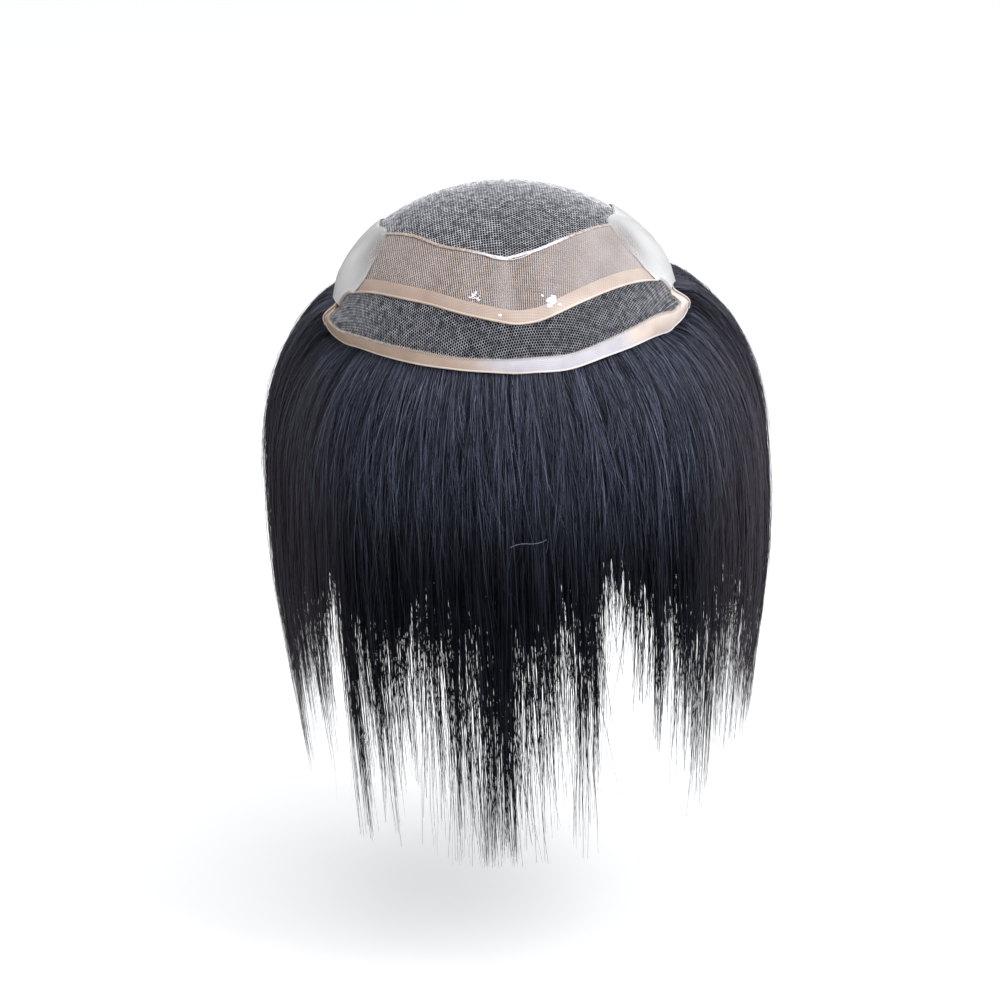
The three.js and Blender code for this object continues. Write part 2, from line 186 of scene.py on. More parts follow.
def swept(lines: list[Array], normals: list[Array], radius: float, sides: int = 3) -> Shape:
    """Threads along lines, each a capped tube.

    Args:
        lines: The points of each thread's middle.
        normals: For each point, the way out of the cloth.
        radius: Half the thickness of a thread.
        sides: How many faces go round it.
    """
    groups: dict[int, list[int]] = {}
    for number, line in enumerate(lines):
        groups.setdefault(len(line), []).append(number)
    turns = np.arange(sides) * 2 * np.pi / sides
    shapes = []
    for length, numbers in groups.items():
        path = np.stack([lines[i] for i in numbers])
        ahead = unit(np.gradient(path, axis=1))
        across = unit(np.cross(ahead, np.stack([normals[i] for i in numbers])))
        over = np.cross(across, ahead)
        ring = over[:, :, None] * np.cos(turns)[:, None] + across[:, :, None] * np.sin(turns)[:, None]
        points = path[:, :, None] + radius * ring
        number = np.arange(len(numbers) * length * sides).reshape(len(numbers), length, sides)
        turned = np.roll(number, -1, axis=2)
        walls = np.stack([number[:, :-1], turned[:, :-1], turned[:, 1:], number[:, 1:]], -1).reshape(-1, 4)
        caps = [
            np.stack([end[:, 0], end[:, second], end[:, third]], -1)
            for first in range(1, sides - 1)
            for end, second, third in ((number[:, 0], first + 1, first), (number[:, -1], first, first + 1))
        ]
        shapes.append(Shape(points.reshape(-1, 3), np.concatenate([quads(walls), *caps])).outward())
    return Shape.joined(shapes)


@dataclass
class Dome:
    """The rounded face that the base is stretched over, and its temple corners that stand off it."""

    half_width: float = 0.0738
    front: float = 0.088
    back: float = 0.092
    side_drop: float = 0.046
    front_drop: float = 0.0587
    back_drop: float = 0.0607
    fullness: float = 1.16
    top: float = 0.005
    side_arc: float = 0.097
    corner_lift: float = 0.007
    corner_azimuth: float = 76.0
    corner_span: float = 17.0
    corner_depth: float = 0.006
    longest_arc: float = 0.135
    table: Array = field(init=False)

    def __post_init__(self) -> None:
        """Works out, once, the share of the quarter turn at which each profile has run each length."""
        azimuths = np.linspace(-180, 180, 721)
        shares = np.linspace(0, 1.6, 321)
        radius, height = self.profile(azimuths[:, None], shares[None])
        steps = np.hypot(np.diff(radius, axis=1), np.diff(height, axis=1))
        run = np.concatenate([np.zeros((len(azimuths), 1)), np.cumsum(steps, axis=1)], axis=1)
        arcs = np.linspace(0, self.longest_arc, 271)
        self.table = np.stack([np.interp(arcs, row, shares) for row in run])

    def profile(self, azimuth: Array, share: Array) -> tuple[Array, Array]:
        """The radius and height of the dome at an azimuth after a share of the quarter turn."""
        phi = np.radians(azimuth)
        ahead = np.cos(phi) > 0
        length = np.where(ahead, self.front, self.back)
        reach = 1 / np.hypot(np.sin(phi) / self.half_width, np.cos(phi) / length)
        end = np.where(ahead, self.front_drop, self.back_drop)
        drop = blend(self.side_drop, end, np.cos(phi) ** 2)
        cosine = np.cos(share * np.pi / 2)
        rise = np.sign(cosine) * np.abs(cosine) ** self.fullness
        return reach * np.sin(share * np.pi / 2), self.top - drop * (1 - rise)

    def share_at(self, azimuth: Array, arc: Array) -> Array:
        """The share of the quarter turn at which the profile has run a length from the crown."""
        across = (np.asarray(azimuth) + 180) % 360 * 2
        along = np.clip(arc / self.longest_arc, 0, 1) * (self.table.shape[1] - 1)
        i = np.minimum(across.astype(int), 719)
        j = np.minimum(along.astype(int), self.table.shape[1] - 2)
        near = blend(self.table[i, j], self.table[i, j + 1], along - j)
        far = blend(self.table[i + 1, j], self.table[i + 1, j + 1], along - j)
        return blend(near, far, across - i)

    def face(self, flat: Array, out: Array | float = 0.0) -> Array:
        """Points of the dome.

        Args:
            flat: Points of the flat pattern, x across and y ahead of the crown.
            out: How far each is moved straight out from the upright through the crown.
        """
        arc = np.hypot(flat[..., 0], flat[..., 1])
        azimuth = np.degrees(np.arctan2(flat[..., 0], flat[..., 1]))
        radius, height = self.profile(azimuth, self.share_at(azimuth, arc))
        reach = (radius + out) / np.maximum(arc, 1e-9)
        return np.stack([reach * flat[..., 0], -reach * flat[..., 1], height], -1)

    def base_face(self, flat: Array, stand: float = 1.0) -> Array:
        """Points of the base's outer face: the dome with a share of its temple corners' lift."""
        azimuth = np.degrees(np.arctan2(flat[..., 0], flat[..., 1]))
        off_corner = (np.abs(azimuth) - self.corner_azimuth) / self.corner_span
        arc = np.hypot(flat[..., 0], flat[..., 1])
        rise = smooth(self.side_arc - self.corner_depth, self.side_arc, arc)
        return self.face(flat, stand * self.corner_lift * rise * np.exp(-(off_corner**2)))

    def normals(self, flat: Array, stand: float = 1.0) -> Array:
        """The way out of the base at points of the pattern."""
        step = 0.0005
        across = self.base_face(flat + [step, 0], stand) - self.base_face(flat - [step, 0], stand)
        ahead = self.base_face(flat + [0, step], stand) - self.base_face(flat - [0, step], stand)
        return unit(np.cross(ahead, across))

    def lifted(self, flat: Array, lift: Array | float, stand: float = 1.0) -> Array:
        """Points of the base's outer face moved along its normal, out when lift is positive."""
        return self.base_face(flat, stand) + self.normals(flat, stand) * np.asarray(lift)[..., None]


def pattern_point(azimuth: Array | float, arc: Array | float) -> Array:
    """A point of the flat pattern at an azimuth and a length from the crown."""
    phi = np.radians(azimuth)
    return np.stack([arc * np.sin(phi), arc * np.cos(phi)], -1)


class Edge:
    """A smooth line of the pattern through the rows of a table."""

    def __init__(self, rows: tuple[Row, ...], arc: float) -> None:
        """Places the rows.

        Args:
            rows: An azimuth and a share of arc, in each row.
            arc: The length that the shares are of.
        """
        self.points = np.array([pattern_point(azimuth, reach * arc) for azimuth, reach in rows])

    def at(self, rows: Array) -> Array:
        """Points of the line at places counted in rows of its table."""
        last = len(self.points) - 1
        start = np.clip(np.floor(rows).astype(int), 0, last - 1)
        share = (np.asarray(rows) - start)[:, None]
        p0 = self.points[np.maximum(start - 1, 0)]
        p1 = self.points[start]
        p2 = self.points[start + 1]
        p3 = self.points[np.minimum(start + 2, last)]
        v0 = (p2 - p0) / 2
        v1 = (p3 - p1) / 2
        cubic = (2 * p1 - 2 * p2 + v0 + v1) * share**3
        return cubic + (-3 * p1 + 3 * p2 - 2 * v0 - v1) * share**2 + v0 * share + p1

    def stretch(self, first: float, last: float, count: int) -> Array:
        """Evenly counted points between two rows."""
        return self.at(np.linspace(first, last, count))


def inside(points: Array, outline: Array) -> Array:
    """Which points of the pattern lie within a closed outline."""
    x, y = points[..., 0, None], points[..., 1, None]
    after = np.roll(outline, -1, axis=0)
    crosses = (outline[:, 1] > y) != (after[:, 1] > y)
    rise = np.where(after[:, 1] == outline[:, 1], 1e-12, after[:, 1] - outline[:, 1])
    at = outline[:, 0] + (y - outline[:, 1]) * (after[:, 0] - outline[:, 0]) / rise
    return (crosses & (x < at)).sum(axis=-1) % 2 == 1


def flat_area(outline: Array) -> float:
    """The area within a closed outline of the pattern."""
    after = np.roll(outline, -1, axis=0)
    return float(abs((outline[:, 0] * after[:, 1] - after[:, 0] * outline[:, 1]).sum()) / 2)


@dataclass
class Pattern:
    """The flat cut of the base: the lines between its panels, from the left temple to the right."""

    hairline_arc: float = 0.111
    side_arc: float = 0.097
    back_arc: float = 0.118
    crown_back_arc: float = 0.080
    crown_half_width: float = 0.053
    crown_back_bow: float = 0.08
    hem_width: float = 0.006
    tip_rows: int = 3
    skin_temple: float = 84.0
    skin_corner: float = 140.0
    skin_tuck: float = 0.004
    skin_tuck_span: float = 20.0
    count: int = 121

    CROWN = (
        (-82.5, 0.508), (-55, 0.438), (-34.6, 0.46), (-18, 0.478), (-4, 0.513),
        (2, 0.512), (14.4, 0.483), (30, 0.446), (48, 0.431), (71.7, 0.468),
    )
    LACE_REAR = (
        (-75.8, 0.828), (-73.8, 0.79), (-70, 0.757), (-65.2, 0.744), (-44, 0.717), (-28, 0.733),
        (-15, 0.77), (-3, 0.805), (4, 0.813), (12, 0.792), (26, 0.74), (43, 0.713),
        (62, 0.741), (66.5, 0.75), (70, 0.779), (72, 0.812),
    )
    STRIP_REAR = (
        (-79.5, 0.829), (-75.8, 0.84), (-72.5, 0.862), (-68, 0.88), (-62, 0.891), (-46, 0.899),
        (-30, 0.915), (-16, 0.938), (-3.6, 0.947), (5, 0.946), (16, 0.943), (28, 0.91),
        (42, 0.877), (60, 0.865), (65, 0.863), (69.5, 0.85), (72, 0.824), (78, 0.805),
    )
    STRIP_FRONT = (
        (-76, 0.892), (-74.5, 0.905), (-71.7, 0.922), (-67, 0.937), (-60.5, 0.946), (-45, 0.951),
        (-29.5, 0.968), (-15.5, 0.986), (-3.5, 1.0), (5, 1.004), (15.5, 1.002), (27.5, 0.971),
        (41.5, 0.95), (59, 0.95), (64.5, 0.937), (69.5, 0.923), (73, 0.91), (76, 0.892),
    )

    def __post_init__(self) -> None:
        """Places the lines."""
        crown = Edge(self.CROWN, self.hairline_arc)
        lace_rear = Edge(self.LACE_REAR, self.hairline_arc)
        strip_rear = Edge(self.STRIP_REAR, self.hairline_arc)
        strip_front = Edge(self.STRIP_FRONT, self.hairline_arc)
        gauze_rows = len(self.CROWN) - 1
        ends = len(self.LACE_REAR) - 1
        strip_ends = len(self.STRIP_REAR) - 1
        self.crown_front = crown.stretch(0, gauze_rows, self.count)
        self.hem_front = lace_rear.stretch(self.tip_rows, self.tip_rows + gauze_rows, self.count)
        length = np.linalg.norm(self.hem_front, axis=1, keepdims=True)
        self.hem_rear = self.hem_front * (1 - self.hem_width / length)
        across = np.linspace(-1, 1, self.count)
        back = self.crown_back_arc * (1 - self.crown_back_bow * across**2)
        self.crown_back = np.stack([across * self.crown_half_width, -back], -1)
        self.lace_rear = lace_rear.stretch(0, ends, 2 * self.count)
        self.lace_front = strip_rear.stretch(1, ends + 1, 2 * self.count)
        self.strip_rear = strip_rear.stretch(0, strip_ends, 2 * self.count)
        self.hairline = strip_front.stretch(0, strip_ends, 2 * self.count)
        self.strip_ends = (strip_rear.at(np.array([0.0])), strip_rear.at(np.array([float(strip_ends)])))
        self.lace_tips = (
            lace_rear.stretch(0, self.tip_rows, 13),
            lace_rear.stretch(ends, ends - self.tip_rows, 13),
        )

    def rim(self, azimuth: Array) -> Array:
        """The rim of the clear film, from the left temple round the back to the right."""
        behind = np.maximum(0, -np.cos(np.radians(azimuth))) ** 2
        past = np.abs((azimuth + 180) % 360 - 180) - self.skin_temple
        tucked = self.skin_tuck * (1 - smooth(0, self.skin_tuck_span, past))
        return pattern_point(azimuth, blend(self.side_arc, self.back_arc, behind) - tucked)

    def film_lines(self) -> tuple[Array, Array, Array]:
        """The clear film's edges, from the left temple round the back to the right.

        Returns:
            Its outer line, its inner line in step with it, and what each point of the inner line lies
            beside: 0 the lace, 1 the hem, 2 the gauze, 3 the crown panel.
        """
        halves = []
        for side, tip, end, first in ((-1, *self.half(0)), (1, *self.half(1))):
            inner = np.concatenate([
                tip,
                blend(tip[-1], self.hem_rear[first], np.linspace(0, 1, 5)[1:, None]),
                blend(self.hem_rear[first], self.crown_front[first], np.linspace(0, 1, 13)[1:, None]),
                blend(self.crown_front[first], self.crown_back[first], np.linspace(0, 1, 41)[1:, None]),
            ])
            beside = np.repeat([0, 1, 2, 3], [len(tip), 4, 12, 40])
            shares = np.linspace(0, 1, len(inner))
            rim = self.rim(side * blend(self.skin_temple, self.skin_corner, shares))
            reached = np.minimum(1, np.arange(len(inner)) / (len(tip) - 1))[:, None]
            halves.append((blend(end, rim, reached), inner, beside))
        (left_outer, left_inner, left_beside), (right_outer, right_inner, right_beside) = halves
        round_back = np.linspace(-self.skin_corner, self.skin_corner - 360, self.count)[1:-1]
        outer = np.concatenate([left_outer, self.rim(round_back), right_outer[::-1]])
        inner = np.concatenate([left_inner, self.crown_back[1:-1], right_inner[::-1]])
        behind = np.full(len(round_back), 3)
        return outer, inner, np.concatenate([left_beside, behind, right_beside[::-1]])

    def half(self, which: int) -> tuple[Array, Array, int]:
        """A lace tip, the strip's end beside it and the crown panel's end, left as 0 or right as 1."""
        return self.lace_tips[which], self.strip_ends[which][0], -which


DOME = Dome()
PATTERN = Pattern()


def between(rear: Array, front: Array, u: Array, v: Array) -> Array:
    """Points of a panel of the pattern, by their shares along its lines and across it."""
    along = u * (len(rear) - 1)
    i = np.minimum(along.astype(int), len(rear) - 2)
    share = (along - i)[..., None]
    return blend(blend(rear[i], rear[i + 1], share), blend(front[i], front[i + 1], share), v[..., None])


class Bench:
    """Blender's tools on one piece at a time, as at a workbench."""

    @staticmethod
    def clear() -> None:
        """Leaves nothing selected."""
        bpy.ops.object.select_all(action="DESELECT")

    @staticmethod
    def hold(piece: bpy.types.Object) -> None:
        """Selects one piece alone."""
        Bench.clear()
        piece.select_set(True)
        bpy.context.view_layer.objects.active = piece

    @staticmethod
    def panel(
        name: str, rear: Array, front: Array, cells: tuple[int, int], lift: Lift, stand: float = 1.0
    ) -> bpy.types.Object:
        """A sheet laid on the base between two lines of the pattern.

        Args:
            name: The object's name.
            rear: The line nearer the crown.
            front: The line further from it.
            cells: Cells along the lines and across them.
            lift: Height over the base's outer face for shares along and across.
            stand: The share of the temple corners' lift that it follows.

        Returns:
            A grid moved to its place, faces up.
        """
        Bench.clear()
        bpy.ops.mesh.primitive_grid_add(x_subdivisions=cells[0], y_subdivisions=cells[1], size=1)
        piece = bpy.context.object
        piece.name = name
        piece.data.name = name
        points = np.empty(len(piece.data.vertices) * 3, dtype=np.float32)
        piece.data.vertices.foreach_get("co", points)
        u, v = (points.reshape(-1, 3)[:, :2].T + 0.5).clip(0, 1)
        flat = between(rear, front, u, v)
        placed = DOME.lifted(flat, lift(u, v), stand)
        piece.data.vertices.foreach_set("co", placed.astype(np.float32).ravel())
        cut = piece.data.attributes.new("cut", "FLOAT_VECTOR", "POINT")
        cut.data.foreach_set("vector", np.pad(flat, ((0, 0), (0, 1))).astype(np.float32).ravel())
        piece.data.update()
        faces = piece.data.polygons
        out = sum(face.normal.dot(face.center) for face in faces)
        if out < 0:
            bpy.ops.object.mode_set(mode="EDIT")
            bpy.ops.mesh.select_all(action="SELECT")
            bpy.ops.mesh.flip_normals()
            bpy.ops.object.mode_set(mode="OBJECT")
        return piece

    @staticmethod
    def thicken(piece: bpy.types.Object, wall: float, rounding: float = 0.0) -> None:
        """Gives a sheet its wall, inwards, and rounds its edges."""
        Bench.hold(piece)
        bpy.ops.object.modifier_add(type="SOLIDIFY")
        solidify = piece.modifiers[-1]
        solidify.thickness = wall
        solidify.offset = -1
        bpy.ops.object.modifier_apply(modifier=solidify.name)
        if rounding:
            bpy.ops.object.modifier_add(type="BEVEL")
            bevel = piece.modifiers[-1]
            bevel.width = rounding
            bevel.segments = 2
            bevel.limit_method = "ANGLE"
            bevel.angle_limit = np.radians(50)
            bpy.ops.object.modifier_apply(modifier=bevel.name)
        bpy.ops.object.shade_smooth_by_angle(angle=np.radians(50))


def dress(piece: bpy.types.Object, material: bpy.types.Material, slot: Slot, *nodes: str) -> None:
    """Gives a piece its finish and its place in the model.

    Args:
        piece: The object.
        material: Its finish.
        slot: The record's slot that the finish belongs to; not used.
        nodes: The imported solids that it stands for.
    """
    piece.data.materials.clear()
    piece.data.materials.append(material)
    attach(piece, "root")
    if nodes:
        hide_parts(*nodes)
    log.info("%s: %d faces", piece.name, len(piece.data.polygons))


class Nodes:
    """A material's node tree, with short ways to add to it."""

    def __init__(self, name: str) -> None:
        """Starts a material with its shader."""
        self.material = bpy.data.materials.new(name)
        self.material.use_nodes = True
        self.tree = self.material.node_tree
        self.shader = self.tree.nodes["Principled BSDF"]

    def set(self, **values: float | Colour) -> None:
        """Sets sockets of the shader by their names, with _ for a space."""
        for name, value in values.items():
            socket = self.shader.inputs[name.replace("_", " ")]
            socket.default_value = (*value, 1.0) if isinstance(value, tuple) else value

    def node(self, kind: str, **inputs: object) -> bpy.types.Node:
        """Adds a node and sets or links its inputs."""
        node = self.tree.nodes.new(kind)
        for name, value in inputs.items():
            self.feed(node.inputs[name.replace("_", " ")], value)
        return node

    def feed(self, socket: bpy.types.NodeSocket, value: object) -> None:
        """Links an output to a socket, or sets the socket's value."""
        if isinstance(value, bpy.types.NodeSocket):
            self.tree.links.new(value, socket)
        else:
            socket.default_value = value

    def place(self, scale: Row = (1.0, 1.0, 1.0)) -> bpy.types.NodeSocket:
        """The place on the object, scaled, for patterns to read."""
        where = self.node("ShaderNodeTexCoord").outputs["Object"]
        mapping = self.node("ShaderNodeMapping", Vector=where)
        mapping.inputs["Scale"].default_value = scale
        return mapping.outputs["Vector"]

    def noise(self, where: bpy.types.NodeSocket, scale: float, detail: float = 3.0) -> bpy.types.NodeSocket:
        """An uneven grey pattern."""
        return self.node("ShaderNodeTexNoise", Vector=where, Scale=scale, Detail=detail).outputs["Fac"]

    def spread(self, value: object, low: float, high: float) -> bpy.types.NodeSocket:
        """A value's share of the way from low to high."""
        node = self.node("ShaderNodeMapRange", Value=value)
        node.inputs["From Min"].default_value = low
        node.inputs["From Max"].default_value = high
        return node.outputs["Result"]

    def waves(self, pitch: float, direction: str) -> bpy.types.NodeSocket:
        """Even threads across the cut of a panel, from its own attribute."""
        cut = self.node("ShaderNodeAttribute")
        cut.attribute_name = "cut"
        node = self.node("ShaderNodeTexWave", Vector=cut.outputs["Vector"], Scale=np.pi / 10 / pitch)
        node.bands_direction = direction
        return node.outputs["Fac"]

    def ramp(self, factor: bpy.types.NodeSocket, stops: Stops) -> bpy.types.NodeSocket:
        """Colours along a factor."""
        node = self.node("ShaderNodeValToRGB", Fac=factor)
        ramp = node.color_ramp
        while len(ramp.elements) < len(stops):
            ramp.elements.new(0.5)
        for element, (position, colour) in zip(ramp.elements, stops):
            element.position = position
            element.color = (*colour, 1.0)
        return node.outputs["Color"]

    def mixed(self, factor: object, a: object, b: object, way: str = "MIX") -> bpy.types.NodeSocket:
        """Two colours mixed or multiplied by a factor."""
        node = self.tree.nodes.new("ShaderNodeMix")
        node.data_type = "RGBA"
        node.blend_type = way
        self.feed(node.inputs[0], factor)
        self.feed(node.inputs[6], (*a, 1.0) if isinstance(a, tuple) else a)
        self.feed(node.inputs[7], (*b, 1.0) if isinstance(b, tuple) else b)
        return node.outputs[2]

    def bump(self, height: bpy.types.NodeSocket, distance: float, strength: float = 1.0) -> None:
        """Lets a pattern raise the surface."""
        node = self.node("ShaderNodeBump", Height=height, Distance=distance, Strength=strength)
        self.tree.links.new(node.outputs["Normal"], self.shader.inputs["Normal"])

    def colour(self, source: bpy.types.NodeSocket) -> None:
        """Feeds the shader's colour."""
        self.tree.links.new(source, self.shader.inputs["Base Color"])


@dataclass(frozen=True)
class ThreadFinish:
    """Fine monofilament: smooth, pale and slightly uneven from thread to thread."""

    name: str
    pale: Colour
    dull: Colour
    roughness: float = 0.45
    speckle: float = 420.0

    def material(self) -> bpy.types.Material:
        """Builds the finish."""
        nodes = Nodes(self.name)
        nodes.set(Roughness=self.roughness, Specular_IOR_Level=0.4)
        tone = nodes.noise(nodes.place(), self.speckle, 2.0)
        nodes.colour(nodes.ramp(tone, ((0.3, self.dull), (0.68, self.pale))))
        return nodes.material


@dataclass(frozen=True)
class TapeFinish:
    """Tape or cord under a film, its tone changing along X, with the tape's fine ribs and rows.

    tones pairs a place along X with a colour; ribs and rows are their pitches, or 0 for none.
    """

    name: str
    tones: Stops
    ribs: float = 0.0
    rows: float = 0.0
    gaps: float = 0.75
    roughness: float = 0.3
    coat: float = 0.5
    half_width: float = 0.08
    grain: float = 90.0
    shadow: Colour = (0.84, 0.82, 0.81)

    def material(self) -> bpy.types.Material:
        """Builds the finish."""
        nodes = Nodes(self.name)
        nodes.set(Roughness=self.roughness, Coat_Weight=self.coat, Coat_Roughness=0.15)
        where = nodes.node("ShaderNodeTexCoord").outputs["Object"]
        x = nodes.node("ShaderNodeSeparateXYZ", Vector=where).outputs["X"]
        along = nodes.spread(x, -self.half_width, self.half_width)
        stops = tuple(((place / self.half_width + 1) / 2, tone) for place, tone in self.tones)
        cloud = nodes.ramp(nodes.noise(where, self.grain), ((0.35, self.shadow), (0.6, (1.0, 1.0, 1.0))))
        colour = nodes.mixed(1.0, nodes.ramp(along, stops), cloud, "MULTIPLY")
        if self.ribs:
            ribs = nodes.waves(self.ribs, "X")
            rows = nodes.waves(self.rows, "Y")
            threads = nodes.node("ShaderNodeMath", Value=ribs)
            threads.operation = "MAXIMUM"
            nodes.feed(threads.inputs[1], rows)
            grey = (self.gaps, self.gaps, self.gaps)
            cloth = nodes.ramp(threads.outputs["Value"], ((0.15, grey), (0.6, (1.0, 1.0, 1.0))))
            colour = nodes.mixed(1.0, colour, cloth, "MULTIPLY")
            nodes.bump(threads.outputs["Value"], 0.0001, 0.5)
        nodes.colour(colour)
        return nodes.material


@dataclass(frozen=True)
class FilmFinish:
    """Milky clear film with soft upright bands."""

    name: str
    clear: Colour
    milky: Colour
    alpha: float = 1.0
    roughness: float = 0.22
    coat: float = 0.6
    fades: bool = False

    def material(self) -> bpy.types.Material:
        """Builds the finish."""
        nodes = Nodes(self.name)
        nodes.set(Roughness=self.roughness, Alpha=self.alpha, Coat_Weight=self.coat, Coat_Roughness=0.08)
        if self.fades:
            cover = nodes.node("ShaderNodeAttribute")
            cover.attribute_name = "cover"
            nodes.feed(nodes.shader.inputs["Alpha"], cover.outputs["Fac"])
        bands = nodes.noise(nodes.place((1.0, 0.6, 0.25)), 70.0, 2.0)
        nodes.colour(nodes.ramp(bands, ((0.32, self.clear), (0.66, self.milky))))
        nodes.bump(nodes.noise(nodes.place((1.0, 0.7, 0.4)), 130.0, 2.0), 0.0003, 0.3)
        return nodes.material


@dataclass(frozen=True)
class HairFinish:
    """Straight black hair: blue-black ahead, with a painted lighter brown at the sides where they catch side
    light, each strand its own shade.
    """

    name: str = "black hair"
    root: Colour = (0.0018, 0.0021, 0.0034)
    pale: Colour = (0.160, 0.178, 0.258)
    side_lit_brown: Colour = (0.074, 0.064, 0.076)
    roughness: float = 0.38
    specular: float = 0.08

    def material(self) -> bpy.types.Material:
        """Builds the finish."""
        nodes = Nodes(self.name)
        nodes.set(Roughness=self.roughness, Specular_IOR_Level=self.specular)
        shade = nodes.node("ShaderNodeAttribute")
        shade.attribute_name = "shade"
        tone = nodes.ramp(shade.outputs["Fac"], ((0.0, self.root), (1.0, self.pale)))
        # Painted light: towards the left and right the hair is mixed to a lighter brown, standing for side
        # light caught by the hair there.
        where = nodes.node("ShaderNodeTexCoord").outputs["Object"]
        x = nodes.node("ShaderNodeSeparateXYZ", Vector=where).outputs["X"]
        width = nodes.node("ShaderNodeMath", Value=x)
        width.operation = "ABSOLUTE"
        side = nodes.node("ShaderNodeMapRange", Value=width.outputs["Value"])
        side.inputs["From Min"].default_value = 0.07
        side.inputs["From Max"].default_value = 0.115
        side.inputs["To Max"].default_value = 0.8
        nodes.colour(nodes.mixed(side.outputs["Result"], tone, self.side_lit_brown))
        return nodes.material


class Net:
    """A fine net cut to a panel, its meshes square or six-sided."""

    def __init__(self, outline: Array, pitch: float, row: float, radius: float, depth: float) -> None:
        """Sets the net out.

        Args:
            outline: The panel's closed outline in the pattern.
            pitch: Distance between upright threads.
            row: Distance between the points where they may be joined.
            radius: Half the thickness of an upright thread.
            depth: How far the threads' middles lie below the base's outer face.
        """
        self.outline = outline
        self.pitch = pitch
        self.row = row
        self.radius = radius
        self.depth = depth
        self.relief = 0.35 * radius
        self.turn = 0.0
        self.square_until = -1.0
        self.six_sided_from = -1.0
        self.covered = 0.0

    def shape(self, sides: int, link_radius: float) -> Shape:
        """Threads of the net.

        Args:
            sides: Faces round an upright thread.
            link_radius: Half the thickness of a cross thread.
        """
        low, high = self.outline.min(axis=0), self.outline.max(axis=0)
        middle = (low + high) / 2
        half = np.linalg.norm(high - low) / 2
        columns = int(half / self.pitch) + 1
        rows = int(half / self.row) + 1
        i, j = np.meshgrid(np.arange(-columns, columns + 1), np.arange(-rows, rows + 1), indexing="ij")
        x, y = i * self.pitch, j * self.row
        sway = self.pitch / 6 * smooth(self.square_until, self.six_sided_from, x + middle[0])
        x = x + sway * np.where((i + j) % 2, -1, 1)
        cos, sin = np.cos(self.turn), np.sin(self.turn)
        flat = np.stack([x * cos - y * sin, x * sin + y * cos], -1) + middle
        kept = inside(flat, self.outline)
        lines: list[Array] = []
        lifts: list[Array] = []
        over = np.where((i + j) % 2, -1.0, 1.0) * self.relief - self.depth
        for column in range(flat.shape[0]):
            for first, last in self.runs(kept[column]):
                lines.append(self.to_edge(flat[column], first, last))
                lifts.append(over[column][np.clip(np.arange(first - 1, last + 1), 0, flat.shape[1] - 1)])
        six_sided = sway > self.pitch / 12
        joined = np.where(six_sided[:-1], (i + j)[:-1] % 2 == 0, j[:-1] % 2 == 0)
        ends = kept[:-1] & kept[1:] & joined
        a, b = flat[:-1][ends], flat[1:][ends]
        links = np.stack([a, b], 1)
        link_lift = np.stack([-over[:-1][ends] - 2 * self.depth, -over[1:][ends] - 2 * self.depth], 1)
        self.covered = 2 * self.radius * self.run_of(lines) + 2 * link_radius * self.run_of(list(links))
        threads = self.swept(lines, lifts, self.radius, sides)
        cross = self.swept(list(links), list(link_lift), link_radius, 3)
        return Shape.joined([threads, cross])

    @staticmethod
    def run_of(lines: list[Array]) -> float:
        """The length of lines of the pattern, put end to end."""
        return float(sum(np.linalg.norm(np.diff(line, axis=0), axis=1).sum() for line in lines))

    @staticmethod
    def runs(kept: Array) -> list[tuple[int, int]]:
        """First and last numbers, plus one, of each run of kept points."""
        marks = np.flatnonzero(np.diff(np.concatenate([[0], kept.astype(int), [0]])))
        return [(int(a), int(b)) for a, b in zip(marks[::2], marks[1::2]) if b - a > 1]

    def to_edge(self, line: Array, first: int, last: int) -> Array:
        """A run of a thread, with its ends taken on to the outline."""
        head = self.cut(line[first], line[max(first - 1, 0)])
        tail = self.cut(line[last - 1], line[min(last, len(line) - 1)])
        return np.concatenate([head[None], line[first:last], tail[None]])

    def cut(self, within: Array, beyond: Array) -> Array:
        """Where a step from a point within the outline leaves it."""
        near, far = 0.0, 1.0
        for _ in range(5):
            share = (near + far) / 2
            if inside(blend(within, beyond, share), self.outline):
                near = share
            else:
                far = share
        return blend(within, beyond, max(near, 0.05))

    @staticmethod
    def swept(lines: list[Array], lifts: list[Array], radius: float, sides: int) -> Shape:
        """Threads laid over the base from lines of the pattern."""
        sizes = np.cumsum([len(line) for line in lines])[:-1]
        flat = np.concatenate(lines)
        placed = DOME.lifted(flat, np.concatenate(lifts))
        normals = DOME.normals(flat)
        return swept(np.split(placed, sizes), np.split(normals, sizes), radius, sides)


def run_on(line: Array, length: float) -> Array:
    """A line of the pattern with both ends carried straight on."""
    on = unit(line[[0, -1]] - line[[1, -2]]) * length
    return np.concatenate([line[:1] + on[:1], line, line[-1:] + on[1:]])


def outline_of(rear: Array, front: Array, tuck: float = 0.0) -> Array:
    """The closed outline of a panel between two lines.

    Args:
        rear: The line nearer the crown.
        front: The line further from it.
        tuck: How far both run on past their ends, under the next panel.
    """
    return np.concatenate([run_on(front, tuck), run_on(rear, tuck)[::-1]])


def store(piece: bpy.types.Object, name: str, values: Array) -> None:
    """Gives each point of a piece a value of its own."""
    attribute = piece.data.attributes.new(name, "FLOAT", "POINT")
    attribute.data.foreach_set("value", values.astype(np.float32).ravel())


def cord_along(flat: Array, lift: float, radius: float, sides: int = 6, stand: float = 1.0) -> Shape:
    """A round edge laid over the base along a line of the pattern."""
    path = DOME.lifted(flat, np.full(len(flat), lift), stand)
    return swept([path], [DOME.normals(flat, stand)], radius, sides)


